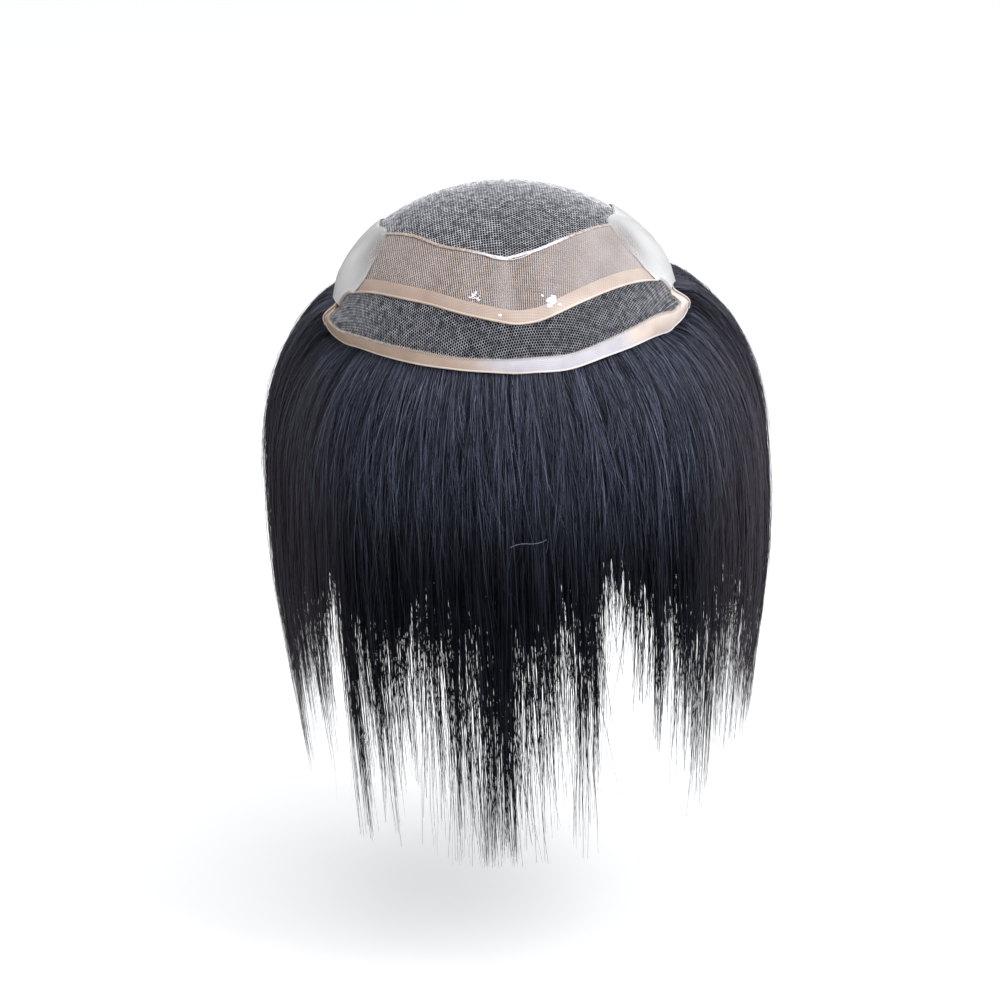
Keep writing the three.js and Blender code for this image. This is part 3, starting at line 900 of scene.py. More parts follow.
@dataclass
class CrownPanel:
    """The open net over the crown."""

    pitch: float = 0.00116
    row: float = 0.0008
    thread: float = 0.00012
    link: float = 0.00010
    depth: float = 0.0004
    tuck: float = 0.002

    def build(self) -> bpy.types.Object:
        """Knits the net, square on the left and six-sided on the right."""
        outline = outline_of(PATTERN.crown_back, PATTERN.crown_front, self.tuck)
        net = Net(outline, self.pitch, self.row, self.thread, self.depth)
        net.square_until = -0.012
        net.six_sided_from = 0.004
        piece = net.shape(3, self.link).piece("crown_net")
        finish = ThreadFinish("crown net thread", pale=(0.90, 0.90, 0.94), dull=(0.20, 0.20, 0.22))
        dress(piece, finish.material(), Slot.MESH, "crown_mesh")
        return piece


@dataclass
class GauzeBand:
    """The ribbed gauze ahead of the crown, with the film that is brushed over it."""

    pitch: float = 0.0010
    row: float = 0.00072
    rib: float = 0.00025
    cross: float = 0.00012
    depth: float = 0.0006
    coat_depth: float = 0.0001
    coat_wall: float = 0.00012
    coat_cells: tuple[int, int] = (120, 20)
    width: float = 0.13
    border: float = 0.0012
    crease_half: float = 0.013
    crease_drop: float = 0.0016
    tuck: float = 0.0045
    flecks: tuple[Row, ...] = (
        (13.4, 0.729, 0.0026), (14.4, 0.715, 0.0014), (12.2, 0.75, 0.0015), (10.6, 0.705, 0.0008),
        (15.8, 0.748, 0.0009), (-3.9, 0.777, 0.0010),
    )
    cluster: Row = (-12.2, 0.697, 0.0034)
    spots: int = 16

    def build(self) -> bpy.types.Object:
        """Weaves the gauze, coats it and binds its crown edge."""
        outline = outline_of(PATTERN.crown_front, PATTERN.hem_rear, self.tuck)
        net = Net(outline, self.pitch, self.row, self.rib, self.depth)
        net.square_until = 1.0
        net.six_sided_from = 2.0
        piece = net.shape(4, self.cross).piece("gauze_net")
        finish = ThreadFinish("gauze thread", pale=(0.55, 0.45, 0.41), dull=(0.35, 0.28, 0.25), roughness=0.5)
        dress(piece, finish.material(), Slot.GAUZE, "gauze_band")
        on_it = [self.coat(), self.bound_edge(), self.crease(), self.drops()]
        return piece

    def coat(self) -> bpy.types.Object:
        """The thin uneven film over the gauze."""
        piece = Bench.panel(
            "gauze_coat", PATTERN.crown_front, PATTERN.hem_rear, self.coat_cells,
            lambda u, v: -self.coat_depth + 0.00012 * ripple(u, 1.0, (3, 7)) * np.sin(np.pi * v),
        )
        columns, rows = (cells + 1 for cells in self.coat_cells)
        u = np.linspace(0, 1, columns)
        thick = 0.36 * smooth(0.58, 1.0, u) + 0.16 * smooth(0.40, 0.46, u) * smooth(0.54, 0.48, u)
        cover = 0.08 + thick + 0.03 * ripple(u, 3.0, (4, 9)) + 0.08 * smooth(0.2, 0.0, u)
        store(piece, "cover", np.tile(cover, rows))
        Bench.thicken(piece, self.coat_wall)
        clear, milky = (0.42, 0.37, 0.35), (0.56, 0.50, 0.49)
        finish = FilmFinish("gauze film", clear, milky, roughness=0.2, coat=0.4, fades=True)
        dress(piece, finish.material(), Slot.GAUZE, "gauze_band")
        return piece

    def bound_edge(self) -> bpy.types.Object:
        """The folded film along the crown edge."""
        front = PATTERN.crown_front
        length = np.linalg.norm(front, axis=1, keepdims=True)
        ahead = front * (1 + self.border / length)
        behind = front * (1 - 0.0004 / length)
        piece = Bench.panel(
            "gauze_border", behind, ahead, (120, 4),
            lambda u, v: 0.0001 + 0.00015 * np.sin(np.pi * v) + 0.00012 * ripple(u, 4.0, (31, 67)),
        )
        Bench.thicken(piece, 0.0005, 0.0001)
        # The white span of the tones, from -0.003 to 0.021 along X, is a painted highlight, the glossy streak
        # along the edge; the beige at its ends is the film's own colour.
        beige, sheen_white = (0.42, 0.33, 0.26), (0.78, 0.77, 0.84)
        tones = ((-0.02, beige), (-0.003, sheen_white), (0.021, sheen_white), (0.028, (0.46, 0.39, 0.35)))
        finish = TapeFinish(
            "gauze border film", tones, roughness=0.25, grain=800.0, shadow=(0.50, 0.46, 0.45)
        )
        dress(piece, finish.material(), Slot.GAUZE, "gauze_band")
        return piece

    def crease(self) -> bpy.types.Object:
        """The thin raised curve of film that spans the point of the crown edge."""
        front = PATTERN.crown_front
        point = front[np.argmax(front[:, 1])]
        share = np.linspace(-1, 1, 33)
        across = point[0] + 0.001 + self.crease_half * share
        level = float(np.interp(across[0], front[:, 0], front[:, 1]))
        ahead = blend(level, point[1] + self.crease_drop, 1 - share**2)
        line = np.stack([across, ahead], -1)
        piece = cord_along(line, 0.0002, 0.00026, 4).piece("gauze_film_crease")
        finish = ThreadFinish("crease of film", pale=(0.74, 0.69, 0.67), dull=(0.56, 0.50, 0.47))
        dress(piece, finish.material(), Slot.GAUZE, "gauze_band")
        return piece

    def drops(self) -> bpy.types.Object:
        """Raised glossy flecks of film, coloured near white as painted glints."""
        random = np.random.default_rng(5)
        azimuth, reach, spread = self.cluster
        middle = pattern_point(azimuth, reach * PATTERN.hairline_arc)
        places = [pattern_point(row[0], row[1] * PATTERN.hairline_arc) for row in self.flecks]
        places += list(middle + random.normal(0, spread / 2, (self.spots, 2)) * [1.0, 0.7])
        sizes = [row[2] for row in self.flecks] + list(random.uniform(0.00025, 0.0008, self.spots))
        shapes = [self.drop(number, *row) for number, row in enumerate(zip(places, sizes))]
        piece = Shape.joined(shapes).piece("gauze_film_flecks")
        # Painted highlight: the flecks are raised lumps, coloured near white to stand for glints of light on
        # them.
        finish = FilmFinish("painted glint film", (0.60, 0.60, 0.66), (0.80, 0.80, 0.86), alpha=0.85, roughness=0.1)
        dress(piece, finish.material(), Slot.GAUZE, "gauze_band")
        return piece

    def drop(self, number: int, middle: Array, size: float) -> Shape:
        """One low uneven fleck."""
        turns = np.linspace(0, 2 * np.pi, 14, endpoint=False)
        rings = np.array([1.0, 0.8, 0.45, 0.02])
        heights = np.array([0.0, 0.12, 0.2, 0.22]) * min(size, 0.0016)
        uneven = 1 + 0.35 * ripple(turns / (2 * np.pi), number + 1.0, (2, 3, 5))
        ring = np.stack([np.cos(turns) * uneven, 0.75 * np.sin(turns) * uneven], -1) * size
        flat = middle + ring[None] * rings[:, None, None]
        closed = np.concatenate([flat, flat[:, :1]], axis=1)
        top = DOME.lifted(closed, np.repeat(heights[:, None], closed.shape[1], axis=1))
        under = DOME.lifted(closed, np.full(closed.shape[:2], -0.0002))
        return shell(top, under)


@dataclass
class GauzeHem:
    """The doubled hem ahead of the gauze and the corded edge that runs round the lace."""

    wall: float = 0.0009
    cord: float = 0.00055
    tuck: float = 0.004

    def build(self) -> bpy.types.Object:
        """Lays the hem and its cord."""
        piece = Bench.panel(
            "gauze_hem_tape", run_on(PATTERN.hem_rear, self.tuck), run_on(PATTERN.hem_front, 0.0), (160, 8),
            lambda u, v: 0.00008 * ripple(u, 2.0, (9, 17)) * np.sin(np.pi * v),
        )
        Bench.thicken(piece, self.wall, 0.0002)
        tones = ((-0.06, (0.36, 0.26, 0.205)), (-0.01, (0.40, 0.30, 0.25)), (0.06, (0.46, 0.37, 0.32)))
        finish = TapeFinish("hem weave", tones, 0.0010, 0.0014, gaps=0.78, roughness=0.4, coat=0.3)
        dress(piece, finish.material(), Slot.HEM, "gauze_hem")
        corded = cord_along(PATTERN.lace_rear, -0.0001, self.cord).piece("lace_corded_edge")
        tones = ((-0.06, (0.50, 0.38, 0.29)), (0.0, (0.58, 0.47, 0.39)), (0.06, (0.62, 0.54, 0.48)))
        pale = TapeFinish("cord thread", tones, roughness=0.4)
        dress(corded, pale.material(), Slot.HEM, "gauze_hem")
        return piece


@dataclass
class FrontLace:
    """The six-sided lace between the hem and the edge strip."""

    pitch: float = 0.00115
    row: float = 0.00068
    thread: float = 0.00011
    link: float = 0.00009
    depth: float = 0.00045
    turn: float = 0.42
    overlap: float = 0.0012

    def build(self) -> bpy.types.Object:
        """Knits the lace and lets its cut ends lie on the strip."""
        length = np.linalg.norm(PATTERN.lace_front, axis=1, keepdims=True)
        front = PATTERN.lace_front * (1 + self.overlap / length)
        outline = outline_of(PATTERN.lace_rear, front)
        net = Net(outline, self.pitch, self.row, self.thread, self.depth)
        net.turn = self.turn
        net.square_until = -2.0
        net.six_sided_from = -1.0
        piece = net.shape(3, self.link).piece("lace_net")
        finish = ThreadFinish("lace thread", pale=(0.72, 0.72, 0.76), dull=(0.13, 0.13, 0.15))
        dress(piece, finish.material(), Slot.LACE, "front_lace")
        stitches = self.stitches()
        area = flat_area(outline_of(PATTERN.lace_rear, PATTERN.lace_front))
        run = float(np.linalg.norm(np.diff(PATTERN.lace_rear, axis=0), axis=1).sum())
        return piece

    def stitches(self) -> bpy.types.Object:
        """The pale zigzag that holds the lace to the strip."""
        middle = PATTERN.lace_front
        run = np.concatenate([[0], np.cumsum(np.linalg.norm(np.diff(middle, axis=0), axis=1))])
        count = int(run[-1] / 0.00065)
        at = np.linspace(0.002, run[-1] - 0.002, count)
        line = np.stack([np.interp(at, run, middle[:, i]) for i in range(2)], -1)
        out = line / np.linalg.norm(line, axis=1, keepdims=True)
        sway = np.where(np.arange(count) % 2, 0.00075, -0.00045)
        sway += 0.00012 * ripple(at / run[-1], 3.0, (31, 57))
        zigzag = line + out * sway[:, None]
        piece = cord_along(zigzag, 0.00012, 0.00016, 4).piece("strip_stitches")
        finish = ThreadFinish("stitch thread", pale=(0.66, 0.62, 0.58), dull=(0.46, 0.41, 0.37))
        dress(piece, finish.material(), Slot.STRIP, "front_edge_strip")
        return piece


@dataclass
class EdgeStrip:
    """The stiff tape along the hairline, its rolled lower edge and its folded ends."""

    wall: float = 0.0009
    roll: float = 0.00045
    tab: float = 0.0035

    def build(self) -> bpy.types.Object:
        """Lays the tape and folds its ends."""
        piece = Bench.panel(
            "edge_strip_tape", PATTERN.strip_rear, PATTERN.hairline, (240, 8),
            lambda u, v: 0.0001 * ripple(u, 5.0, (7, 13)) * np.sin(np.pi * v),
        )
        Bench.thicken(piece, self.wall, 0.0002)
        # The white span of the tones, from -0.006 to 0.046 along X, is a painted reflection of the lights on
        # the glossy tape; the beige and beige-pink either side are the tape's own colour.
        beige, sheen_white = (0.42, 0.30, 0.23), (0.53, 0.51, 0.55)
        tones = (
            (-0.075, beige), (-0.02, (0.47, 0.35, 0.285)), (-0.006, sheen_white), (0.046, sheen_white),
            (0.053, (0.66, 0.55, 0.49)), (0.075, (0.68, 0.58, 0.52)),
        )
        finish = TapeFinish("strip film", tones, 0.00062, 0.0009, gaps=0.84, roughness=0.24, coat=0.7)
        dress(piece, finish.material(), Slot.STRIP, "front_edge_strip")
        inset = PATTERN.hairline * (1 - 0.0002 / np.linalg.norm(PATTERN.hairline, axis=1, keepdims=True))
        rolled = cord_along(inset, -0.0002, self.roll).piece("strip_rolled_edge")
        tones = ((-0.06, (0.56, 0.44, 0.34)), (0.0, (0.64, 0.56, 0.49)), (0.04, (0.70, 0.67, 0.68)))
        pale = TapeFinish("rolled edge film", tones, roughness=0.25)
        dress(rolled, pale.material(), Slot.STRIP, "front_edge_strip")
        for side in Side:
            self.folded_end(side, pale)
        return piece

    def folded_end(self, side: Side, finish: TapeFinish) -> None:
        """The end of the tape, turned back over itself."""
        order = 1 if side is Side.LEFT else -1
        rear = PATTERN.strip_rear[::order]
        front = PATTERN.hairline[::order]
        run = np.concatenate([[0], np.cumsum(np.linalg.norm(np.diff(rear, axis=0), axis=1))])
        last = int(np.searchsorted(run, self.tab)) + 1
        piece = Bench.panel(
            f"strip_folded_end_{side.name.lower()}", rear[:last], front[:last], (10, 8),
            lambda u, v: 0.0004 + 0.0003 * smooth(0.2, 1.0, u),
        )
        Bench.thicken(piece, 0.0004, 0.0001)
        dress(piece, finish.material(), Slot.STRIP, "front_edge_strip")


@dataclass
class ClearFilm:
    """The clear poured film round the sides and the back, with soft upright folds."""

    wall: float = 0.0007
    fold: float = 0.0002
    rim: float = 0.00045
    overlap: float = 0.0009
    gauze_overlap: float = 0.008
    stand: float = 0.25
    cover: float = 0.92
    thinning: float = 0.84
    cells: tuple[int, int] = (360, 32)

    def build(self) -> bpy.types.Object:
        """Pours the film, folds it and thickens its rim."""
        outer, inner, beside = PATTERN.film_lines()
        ahead = unit(np.gradient(inner, axis=0))
        inward = unit(np.stack([-even(ahead[:, 1]), even(ahead[:, 0])], -1))
        on_gauze = even((beside == 2).astype(float), 4)
        on_panels = even((beside > 0).astype(float), 1)
        inner = inner + inward * (self.gauze_overlap * on_gauze + self.overlap * on_panels)[:, None]
        piece = Bench.panel(
            "film_skin", outer, inner, self.cells,
            lambda u, v: self.fold * self.folds(u, v) + 0.0003 * smooth(0.93, 1.0, v),
            self.stand,
        )
        self.fade(piece, on_gauze)
        Bench.thicken(piece, self.wall, 0.0001)
        clear, milky = (0.53, 0.525, 0.52), (0.62, 0.615, 0.61)
        finish = FilmFinish("milky film", clear, milky, roughness=0.42, coat=0.15, fades=True)
        dress(piece, finish.material(), Slot.SKIN, "clear_skin")
        bead = cord_along(outer, -0.0003, self.rim, 6, self.stand).piece("film_rim")
        edge = FilmFinish("film edge", (0.58, 0.58, 0.58), (0.74, 0.74, 0.74), alpha=0.95, roughness=0.15)
        dress(bead, edge.material(), Slot.SKIN, "clear_skin")
        return piece

    def fade(self, piece: bpy.types.Object, on_gauze: Array) -> None:
        """Lets the film thin out where it lies over the gauze."""
        columns, rows = (cells + 1 for cells in self.cells)
        v = np.linspace(0, 1, rows)[:, None]
        u = np.linspace(0, 1, columns)
        beside = np.interp(u, np.linspace(0, 1, len(on_gauze)), on_gauze)
        store(piece, "cover", self.cover - self.thinning * beside * smooth(0.60, 0.97, v))

    def folds(self, u: Array, v: Array) -> Array:
        """Soft folds that run from the rim up to the panels and fade at both."""
        waves = ripple(u + 0.01 * np.sin(5 * v), 2.5, (11, 23, 37))
        return waves * np.sin(np.pi * np.clip(v, 0, 1)) ** 0.7


@dataclass(frozen=True)
class Sector:
    """A stretch of the hair round the head, from its start to its end in degrees."""

    name: str
    start: float
    end: float
    seed: float
    strands: int


@dataclass(frozen=True)
class Layer:
    """One layer of a sector's strands.

    reach pairs the share of the strands with the share of the fall that they reach. Past steady, their
    ends vary from lock to lock. shade runs from 0 at the darkest to 1 at the palest.
    """

    part: float
    points: int
    reach: tuple[Row, ...]
    depth: Row
    width: float
    shade: Row
    lock: Row
    pull: Row
    steady: float = 0.3
    varied: float = 1.0
    swing: float = 2.4
    hook: float = 0.9
    wave: float = 0.2
    lifted: float = 0.0


LONG_LAYER = Layer(
    part=0.63,
    points=12,
    reach=(
        (1.0, 0.0), (1.0, 0.34), (0.96, 0.42), (0.89, 0.5), (0.79, 0.58), (0.64, 0.66),
        (0.47, 0.75), (0.30, 0.84), (0.17, 0.92), (0.08, 0.98), (0.0, 1.08),
    ),
    depth=(0.0, 0.85),
    width=0.00032,
    shade=(0.0, 0.75),
    lock=(3.0, 12.0),
    pull=(0.1, 0.75),
)

TOP_LAYER = Layer(
    part=0.33,
    points=9,
    reach=((1.0, 0.0), (1.0, 0.1), (0.8, 0.17), (0.5, 0.24), (0.15, 0.31), (0.0, 0.38)),
    depth=(-0.06, 0.12),
    width=0.00019,
    # Painted highlight: the outermost short strands reach paler shades than the long layer under them.
    shade=(0.0, 1.15),
    lock=(2.0, 7.0),
    pull=(0.0, 0.4),
    varied=0.0,
    swing=11.0,
    hook=0.7,
    wave=0.0,
    lifted=-0.12,
)

STRAY_LAYER = Layer(
    part=0.04,
    points=12,
    reach=((1.0, 0.1), (0.8, 0.3), (0.5, 0.5), (0.2, 0.7), (0.0, 0.85)),
    depth=(-0.25, 0.0),
    width=0.00014,
    shade=(0.2, 0.9),
    lock=(3.0, 9.0),
    pull=(0.0, 0.2),
    swing=13.0,
    hook=2.0,
    wave=1.2,
)


@dataclass
class Hair:
    """Long straight hair that is pressed under the base and hangs round it in tapering locks."""

    wall: float = 0.001
    clearance: float = 0.0006
    crown_arc: float = 0.044
    crown_depth: float = 0.0034
    rim_depth: float = 0.006
    depth: float = 0.010
    length: float = 0.272
    flare: float = 0.035
    rise: float = 0.007
    ridge: float = 0.0014
    lock_width: float = 0.0125
    lock_radius: float = 0.0984
    tip_spread: float = 0.026
    edge_window: float = 6.0
    split: float = 0.38
    end_gap: float = 0.12
    mass_columns: int = 3
    mass_rows: int = 15
    loose_azimuths: Row = (-2.9, 5.1)
    loose_falls: Row = (0.310, 0.298)
    loose_radius: float = 0.00013
    layers: tuple[Layer, ...] = (LONG_LAYER, TOP_LAYER, STRAY_LAYER)
    sectors: tuple[Sector, ...] = (
        Sector("front", -50, 50, 0.4, 7200),
        Sector("right", 50, 128, 1.3, 5400),
        Sector("back", 128, 232, 2.2, 7200),
        Sector("left", -128, -50, 3.1, 5400),
    )

    # Azimuth, share of the flare and share of the rise.
    ROUND = (
        (-180, 0.9, 1.0), (-130, 1.04, 1.2), (-90, 1.0, 0.6), (-45, 0.8, 0.2), (0, 0.66, 0.0),
        (45, 0.86, 0.3), (90, 1.18, 1.0), (130, 1.22, 1.5), (180, 0.9, 1.0),
    )
    # Share of the fall, of the flare, of the rise and of the depth, and a lock's share of its width.
    FALL = (
        (0, 0, 0, 0.6, 1), (0.015, 0.1, 0.3, 0.65, 1), (0.04, 0.28, 1.1, 0.75, 1), (0.09, 0.58, 1, 0.9, 1),
        (0.16, 0.81, 0.6, 1, 1), (0.25, 0.95, 0.2, 1, 1), (0.38, 1, 0, 1, 1), (0.48, 1, 0, 0.9, 0.8),
        (0.58, 0.97, 0, 0.75, 0.56), (0.7, 0.88, 0, 0.55, 0.36), (0.84, 0.78, 0, 0.35, 0.2),
        (1, 0.66, 0, 0.14, 0.08),
    )
    # Azimuth, and how far the long strands reach there, as a share of their full reach.
    LENGTHS = (
        (-180, 0.95), (-150, 0.88), (-135, 0.78), (-127, 0.66), (-119, 0.8), (-100, 0.88), (-85, 0.86),
        (-70, 0.82), (-61, 0.72), (-54, 0.6), (-48, 0.88), (-40, 0.97), (-28, 0.9), (-18, 0.84), (-9, 1.0),
        (0, 0.98), (9, 0.9), (15, 0.78), (20, 0.55), (25, 0.72), (33, 0.98), (42, 0.72), (50, 0.95),
        (62, 0.8), (72, 1.0), (85, 0.8), (100, 0.85), (122, 0.7), (135, 0.95), (150, 0.85), (165, 1.0),
        (180, 0.95),
    )

    def __post_init__(self) -> None:
        """Smooths the tables and finds where the hair leaves the base all round."""
        rows = np.array(self.FALL, dtype=float)
        fine = np.linspace(0, len(rows) - 1, 161)
        self.fall_table = self.through(rows, fine)
        self.fall_table[:, 0] = np.maximum.accumulate(self.fall_table[:, 0])
        self.azimuths = np.linspace(-180, 180, 721)
        front = PATTERN.hairline
        edge_azimuth = np.degrees(np.arctan2(front[:, 0], front[:, 1]))
        edge_arc = np.linalg.norm(front, axis=1)
        near = np.abs(edge_azimuth[None] - self.azimuths[:, None]) < self.edge_window
        under_strip = np.where(near, edge_arc[None], 0).max(axis=1)
        rim = np.linalg.norm(PATTERN.rim(self.azimuths), axis=1)
        beside = np.where(np.abs(self.azimuths) > DOME.corner_azimuth, rim, 0)
        self.rim_arcs = np.maximum(under_strip, beside)

    @staticmethod
    def through(rows: Array, places: Array) -> Array:
        """A smooth curve through the rows of a table, read at places counted in rows."""
        last = len(rows) - 1
        i = np.clip(places.astype(int), 0, last - 1)
        t = (places - i)[:, None]
        p0, p1 = rows[np.maximum(i - 1, 0)], rows[i]
        p2, p3 = rows[i + 1], rows[np.minimum(i + 2, last)]
        square = 2 * p0 - 5 * p1 + 4 * p2 - p3
        cube = 3 * p1 - p0 - 3 * p2 + p3
        return 0.5 * (2 * p1 + (p2 - p0) * t + square * t**2 + cube * t**3)

    def read_round(self, azimuth: Array, column: int) -> Array:
        """A column of the round table, eased between its rows."""
        rows = np.array(self.ROUND, dtype=float)
        flat = (azimuth + 180) % 360 - 180
        i = np.clip(np.searchsorted(rows[:, 0], flat, side="right") - 1, 0, len(rows) - 2)
        t = (flat - rows[i, 0]) / (rows[i + 1, 0] - rows[i, 0])
        eased = t**3 * (t * (6 * t - 15) + 10)
        return blend(rows[i, column], rows[i + 1, column], eased)

    def read_fall(self, fall: Array, column: int) -> Array:
        """A column of the fall table at a share of the fall."""
        return np.interp(fall, self.fall_table[:, 0], self.fall_table[:, column])

    def length_at(self, azimuth: Array) -> Array:
        """How far the long strands reach at an azimuth, as a share of their full reach."""
        return np.interp((azimuth + 180) % 360 - 180, *np.array(self.LENGTHS).T)

    def rim_arc(self, azimuth: Array) -> Array:
        """The length from the crown at which the hair leaves the base."""
        return np.interp((azimuth + 180) % 360 - 180, self.azimuths, self.rim_arcs)

    def falling(self, azimuth: Array, fall: Array, depth: Array, ridge: Array | float = 0.0) -> Array:
        """Points of the hanging hair.

        Args:
            azimuth: Degrees from the front.
            fall: Shares of the fall from the base to the longest tip.
            depth: Shares of the hair's thickness, from its outer face inwards.
            ridge: Shares of a lock's ridge, from -1 to 1.
        """
        at = pattern_point(azimuth, self.rim_arc(azimuth))
        start = DOME.face(at, -(self.wall + self.clearance))
        flare = self.flare * self.read_round(azimuth, 1)
        lift = self.rise * self.read_round(azimuth, 2) * self.read_fall(fall, 2)
        grown = np.minimum(1, fall / 0.09)
        radial = np.hypot(start[..., 0], start[..., 1]) + self.read_fall(fall, 1) * flare
        radial = radial + ridge * self.ridge * grown - depth * self.read_fall(fall, 3) * self.depth
        height = blend(start[..., 2], -self.length, fall) + lift
        phi = np.radians(azimuth)
        return np.stack([np.sin(phi) * radial, -np.cos(phi) * radial, height], -1)

    def pressed(self, azimuth: Array, share: Array, depth: Array) -> Array:
        """Points of the hair under the base, by the share of the way from the crown hair to the rim."""
        arc = blend(self.crown_arc, self.rim_arc(azimuth), share)
        thick = blend(self.crown_depth, self.rim_depth, share)
        at = pattern_point(azimuth, arc)
        step = 0.0005
        across = DOME.face(at + [step, 0]) - DOME.face(at - [step, 0])
        ahead = DOME.face(at + [0, step]) - DOME.face(at - [0, step])
        out = unit(np.cross(ahead, across))
        return DOME.face(at) - out * (self.wall + self.clearance + thick * depth)[..., None]

    def locks(self, sector: Sector) -> tuple[int, float]:
        """How many locks a sector has, and half the width of one in degrees."""
        count = max(3, round(np.radians(sector.end - sector.start) * self.lock_radius / self.lock_width))
        return count, (sector.end - sector.start) / count / 2

    def gathered(self, sector: Sector, azimuth: Array, fall: Array) -> tuple[Array, Array, Array]:
        """Where hair of an azimuth is once it is gathered in its lock.

        Returns:
            Its azimuth, the share by which the lock is shortened, and its ridge.
        """
        count, half = self.locks(sector)
        lock = np.clip(np.floor((azimuth - sector.start) / (2 * half)), 0, count - 1)
        middle = sector.start + half * (2 * lock + 1)
        side = (azimuth - middle) / half
        loose = np.clip((fall - self.split) / (1 - self.split), 0, 1)
        lean = 0.5 * half * np.sin(sector.seed + 1.7 * lock)
        short = self.tip_spread * (0.5 + 0.5 * np.sin(sector.seed + 2.4 * lock))
        width = self.read_fall(fall, 4)
        ridge = (1 - 2 * np.abs(side)) * width
        return middle + lean * loose + side * half * width, short * fall * loose, ridge

    def build(self, finish: HairFinish) -> None:
        """Makes the pressed crown hair, and the inner mass and the strands of each sector."""
        material = finish.material()
        self.crown_bed(material)
        for sector in self.sectors:
            self.mass(sector, material)
            self.strand_piece(sector, material)

    def crown_bed(self, material: bpy.types.Material) -> None:
        """Hair pressed under the crown net, combed forwards."""
        turns = np.linspace(0, 2 * np.pi, 181)
        rings = np.linspace(0.004, 1, 18)
        arc = self.crown_arc - 0.0005
        flat = np.stack([np.sin(turns), np.cos(turns)], -1)[None] * (rings * arc)[:, None, None]
        combed = ripple(flat[..., 0] / 0.004, 1.0, (1, 2.3, 4.1))
        combed += 0.4 * ripple(flat[..., 1] / 0.03, 2.0, (1, 2))
        top = self.wall + self.clearance + 0.0003 - 0.0003 * combed
        bottom = np.full(flat.shape[:2], self.wall + self.clearance + self.crown_depth)
        piece = shell(DOME.lifted(flat, -top), DOME.lifted(flat, -bottom)).piece("crown_pressed_hair")
        self.shaded(piece, 0.05 + 0.05 * np.tile(combed.ravel(), 2))
        dress(piece, material, Slot.HAIR, "hair_crown")

    @staticmethod
    def shaded(piece: bpy.types.Object, values: Array) -> None:
        """Gives each point of a piece its shade of hair, from 0 to 1."""
        store(piece, "shade", np.clip(values, 0, 1))

    def mass(self, sector: Sector, material: bpy.types.Material) -> None:
        """The dense hair inside a sector, combed in fine ridges, with a ragged lower edge."""
        columns = int((sector.end - sector.start) * self.mass_columns)
        azimuth = np.linspace(sector.start + self.end_gap, sector.end - self.end_gap, columns)
        last = 0.27 + 0.28 * self.length_at(azimuth) + self.ragged(azimuth, sector)
        shares = np.linspace(0, 1, 5)[:, None]
        falls = np.linspace(0, 1, self.mass_rows + 1)[1:, None] ** 1.2 * last[None]
        wide = np.broadcast_to(azimuth, falls.shape)
        combed = ripple(azimuth, sector.seed, (0.8, 1.9, 3.1))
        combed += 0.5 * ripple(azimuth, sector.seed + 2, (0.31, 0.47))
        under = np.broadcast_to(azimuth, (len(shares), columns))
        near = 0.05 + 0.06 * (1 - combed)
        top = self.pressed(under, np.broadcast_to(shares, under.shape), near[None] * np.ones_like(shares))
        gathered, short, ridge = self.gathered(sector, wide, falls)
        taper = smooth(1.0, 0.75, falls / last[None])
        outer_depth = 0.10 + 0.07 * (1 - combed)[None] + 0.3 * (1 - taper)
        hang = self.falling(gathered, falls, outer_depth, ridge)
        hang[..., 2] += short
        below = self.pressed(under, np.broadcast_to(shares, under.shape), np.ones(under.shape))
        inner = self.falling(gathered, falls, outer_depth + 0.08 + 0.7 * taper, ridge)
        inner[..., 2] += short
        body = shell(np.concatenate([top, hang]), np.concatenate([below, inner]))
        piece = body.piece(f"{sector.name}_hair_mass")
        rows = len(shares) + len(falls)
        # Black hair, kept darker than the strands over it as painted shade between them.
        self.shaded(piece, np.tile(0.06 + 0.08 * combed, 2 * rows))
        dress(piece, material, Slot.HAIR, f"hair_{sector.name}")

    def ragged(self, azimuth: Array, sector: Sector) -> Array:
        """An uneven row of points, as shares of the fall, along the lower edge of the inner mass."""
        random = np.random.default_rng(int(sector.seed * 10) + 1)
        widths = random.uniform(0.7, 2.6, int(sector.end - sector.start))
        bounds = sector.start + np.concatenate([[0], np.cumsum(widths)])
        depths = random.uniform(0.05, 0.26, len(widths))
        tooth = np.clip(np.searchsorted(bounds, azimuth, side="right") - 1, 0, len(widths) - 1)
        share = (azimuth - bounds[tooth]) / widths[tooth]
        return -depths[tooth] * np.abs(2 * share - 1) ** 1.3

    def strand_piece(self, sector: Sector, material: bpy.types.Material) -> None:
        """Single strands over the mass and below it, as tapered ribbons."""
        random = np.random.default_rng(int(sector.seed * 10))
        shapes, shades = [], []
        for layer in self.layers:
            shape, shade = self.ribbons(sector, layer, int(sector.strands * layer.part), random)
            shapes.append(shape)
            shades.append(shade)
        if sector.start < 0 < sector.end:
            shapes.append(self.loose_hair())
            shades.append(np.ones(len(shapes[-1].points)))
        piece = Shape.joined(shapes).piece(f"{sector.name}_hair_strands")
        self.shaded(piece, np.concatenate(shades))
        dress(piece, material, Slot.HAIR, f"hair_{sector.name}")

    def loose_hair(self) -> Shape:
        """The one short hair that lies across the front."""
        share = np.linspace(0, 1, 14)
        azimuth = blend(*self.loose_azimuths, share)
        fall = blend(*self.loose_falls, share) - 0.003 * np.sin(2 * np.pi * share)
        path = self.falling(azimuth, fall, np.full(len(share), -0.2))
        phi = np.radians(azimuth)
        outward = np.stack([np.sin(phi), -np.cos(phi), np.zeros_like(phi)], -1)
        return swept([path], [outward], self.loose_radius, 4)

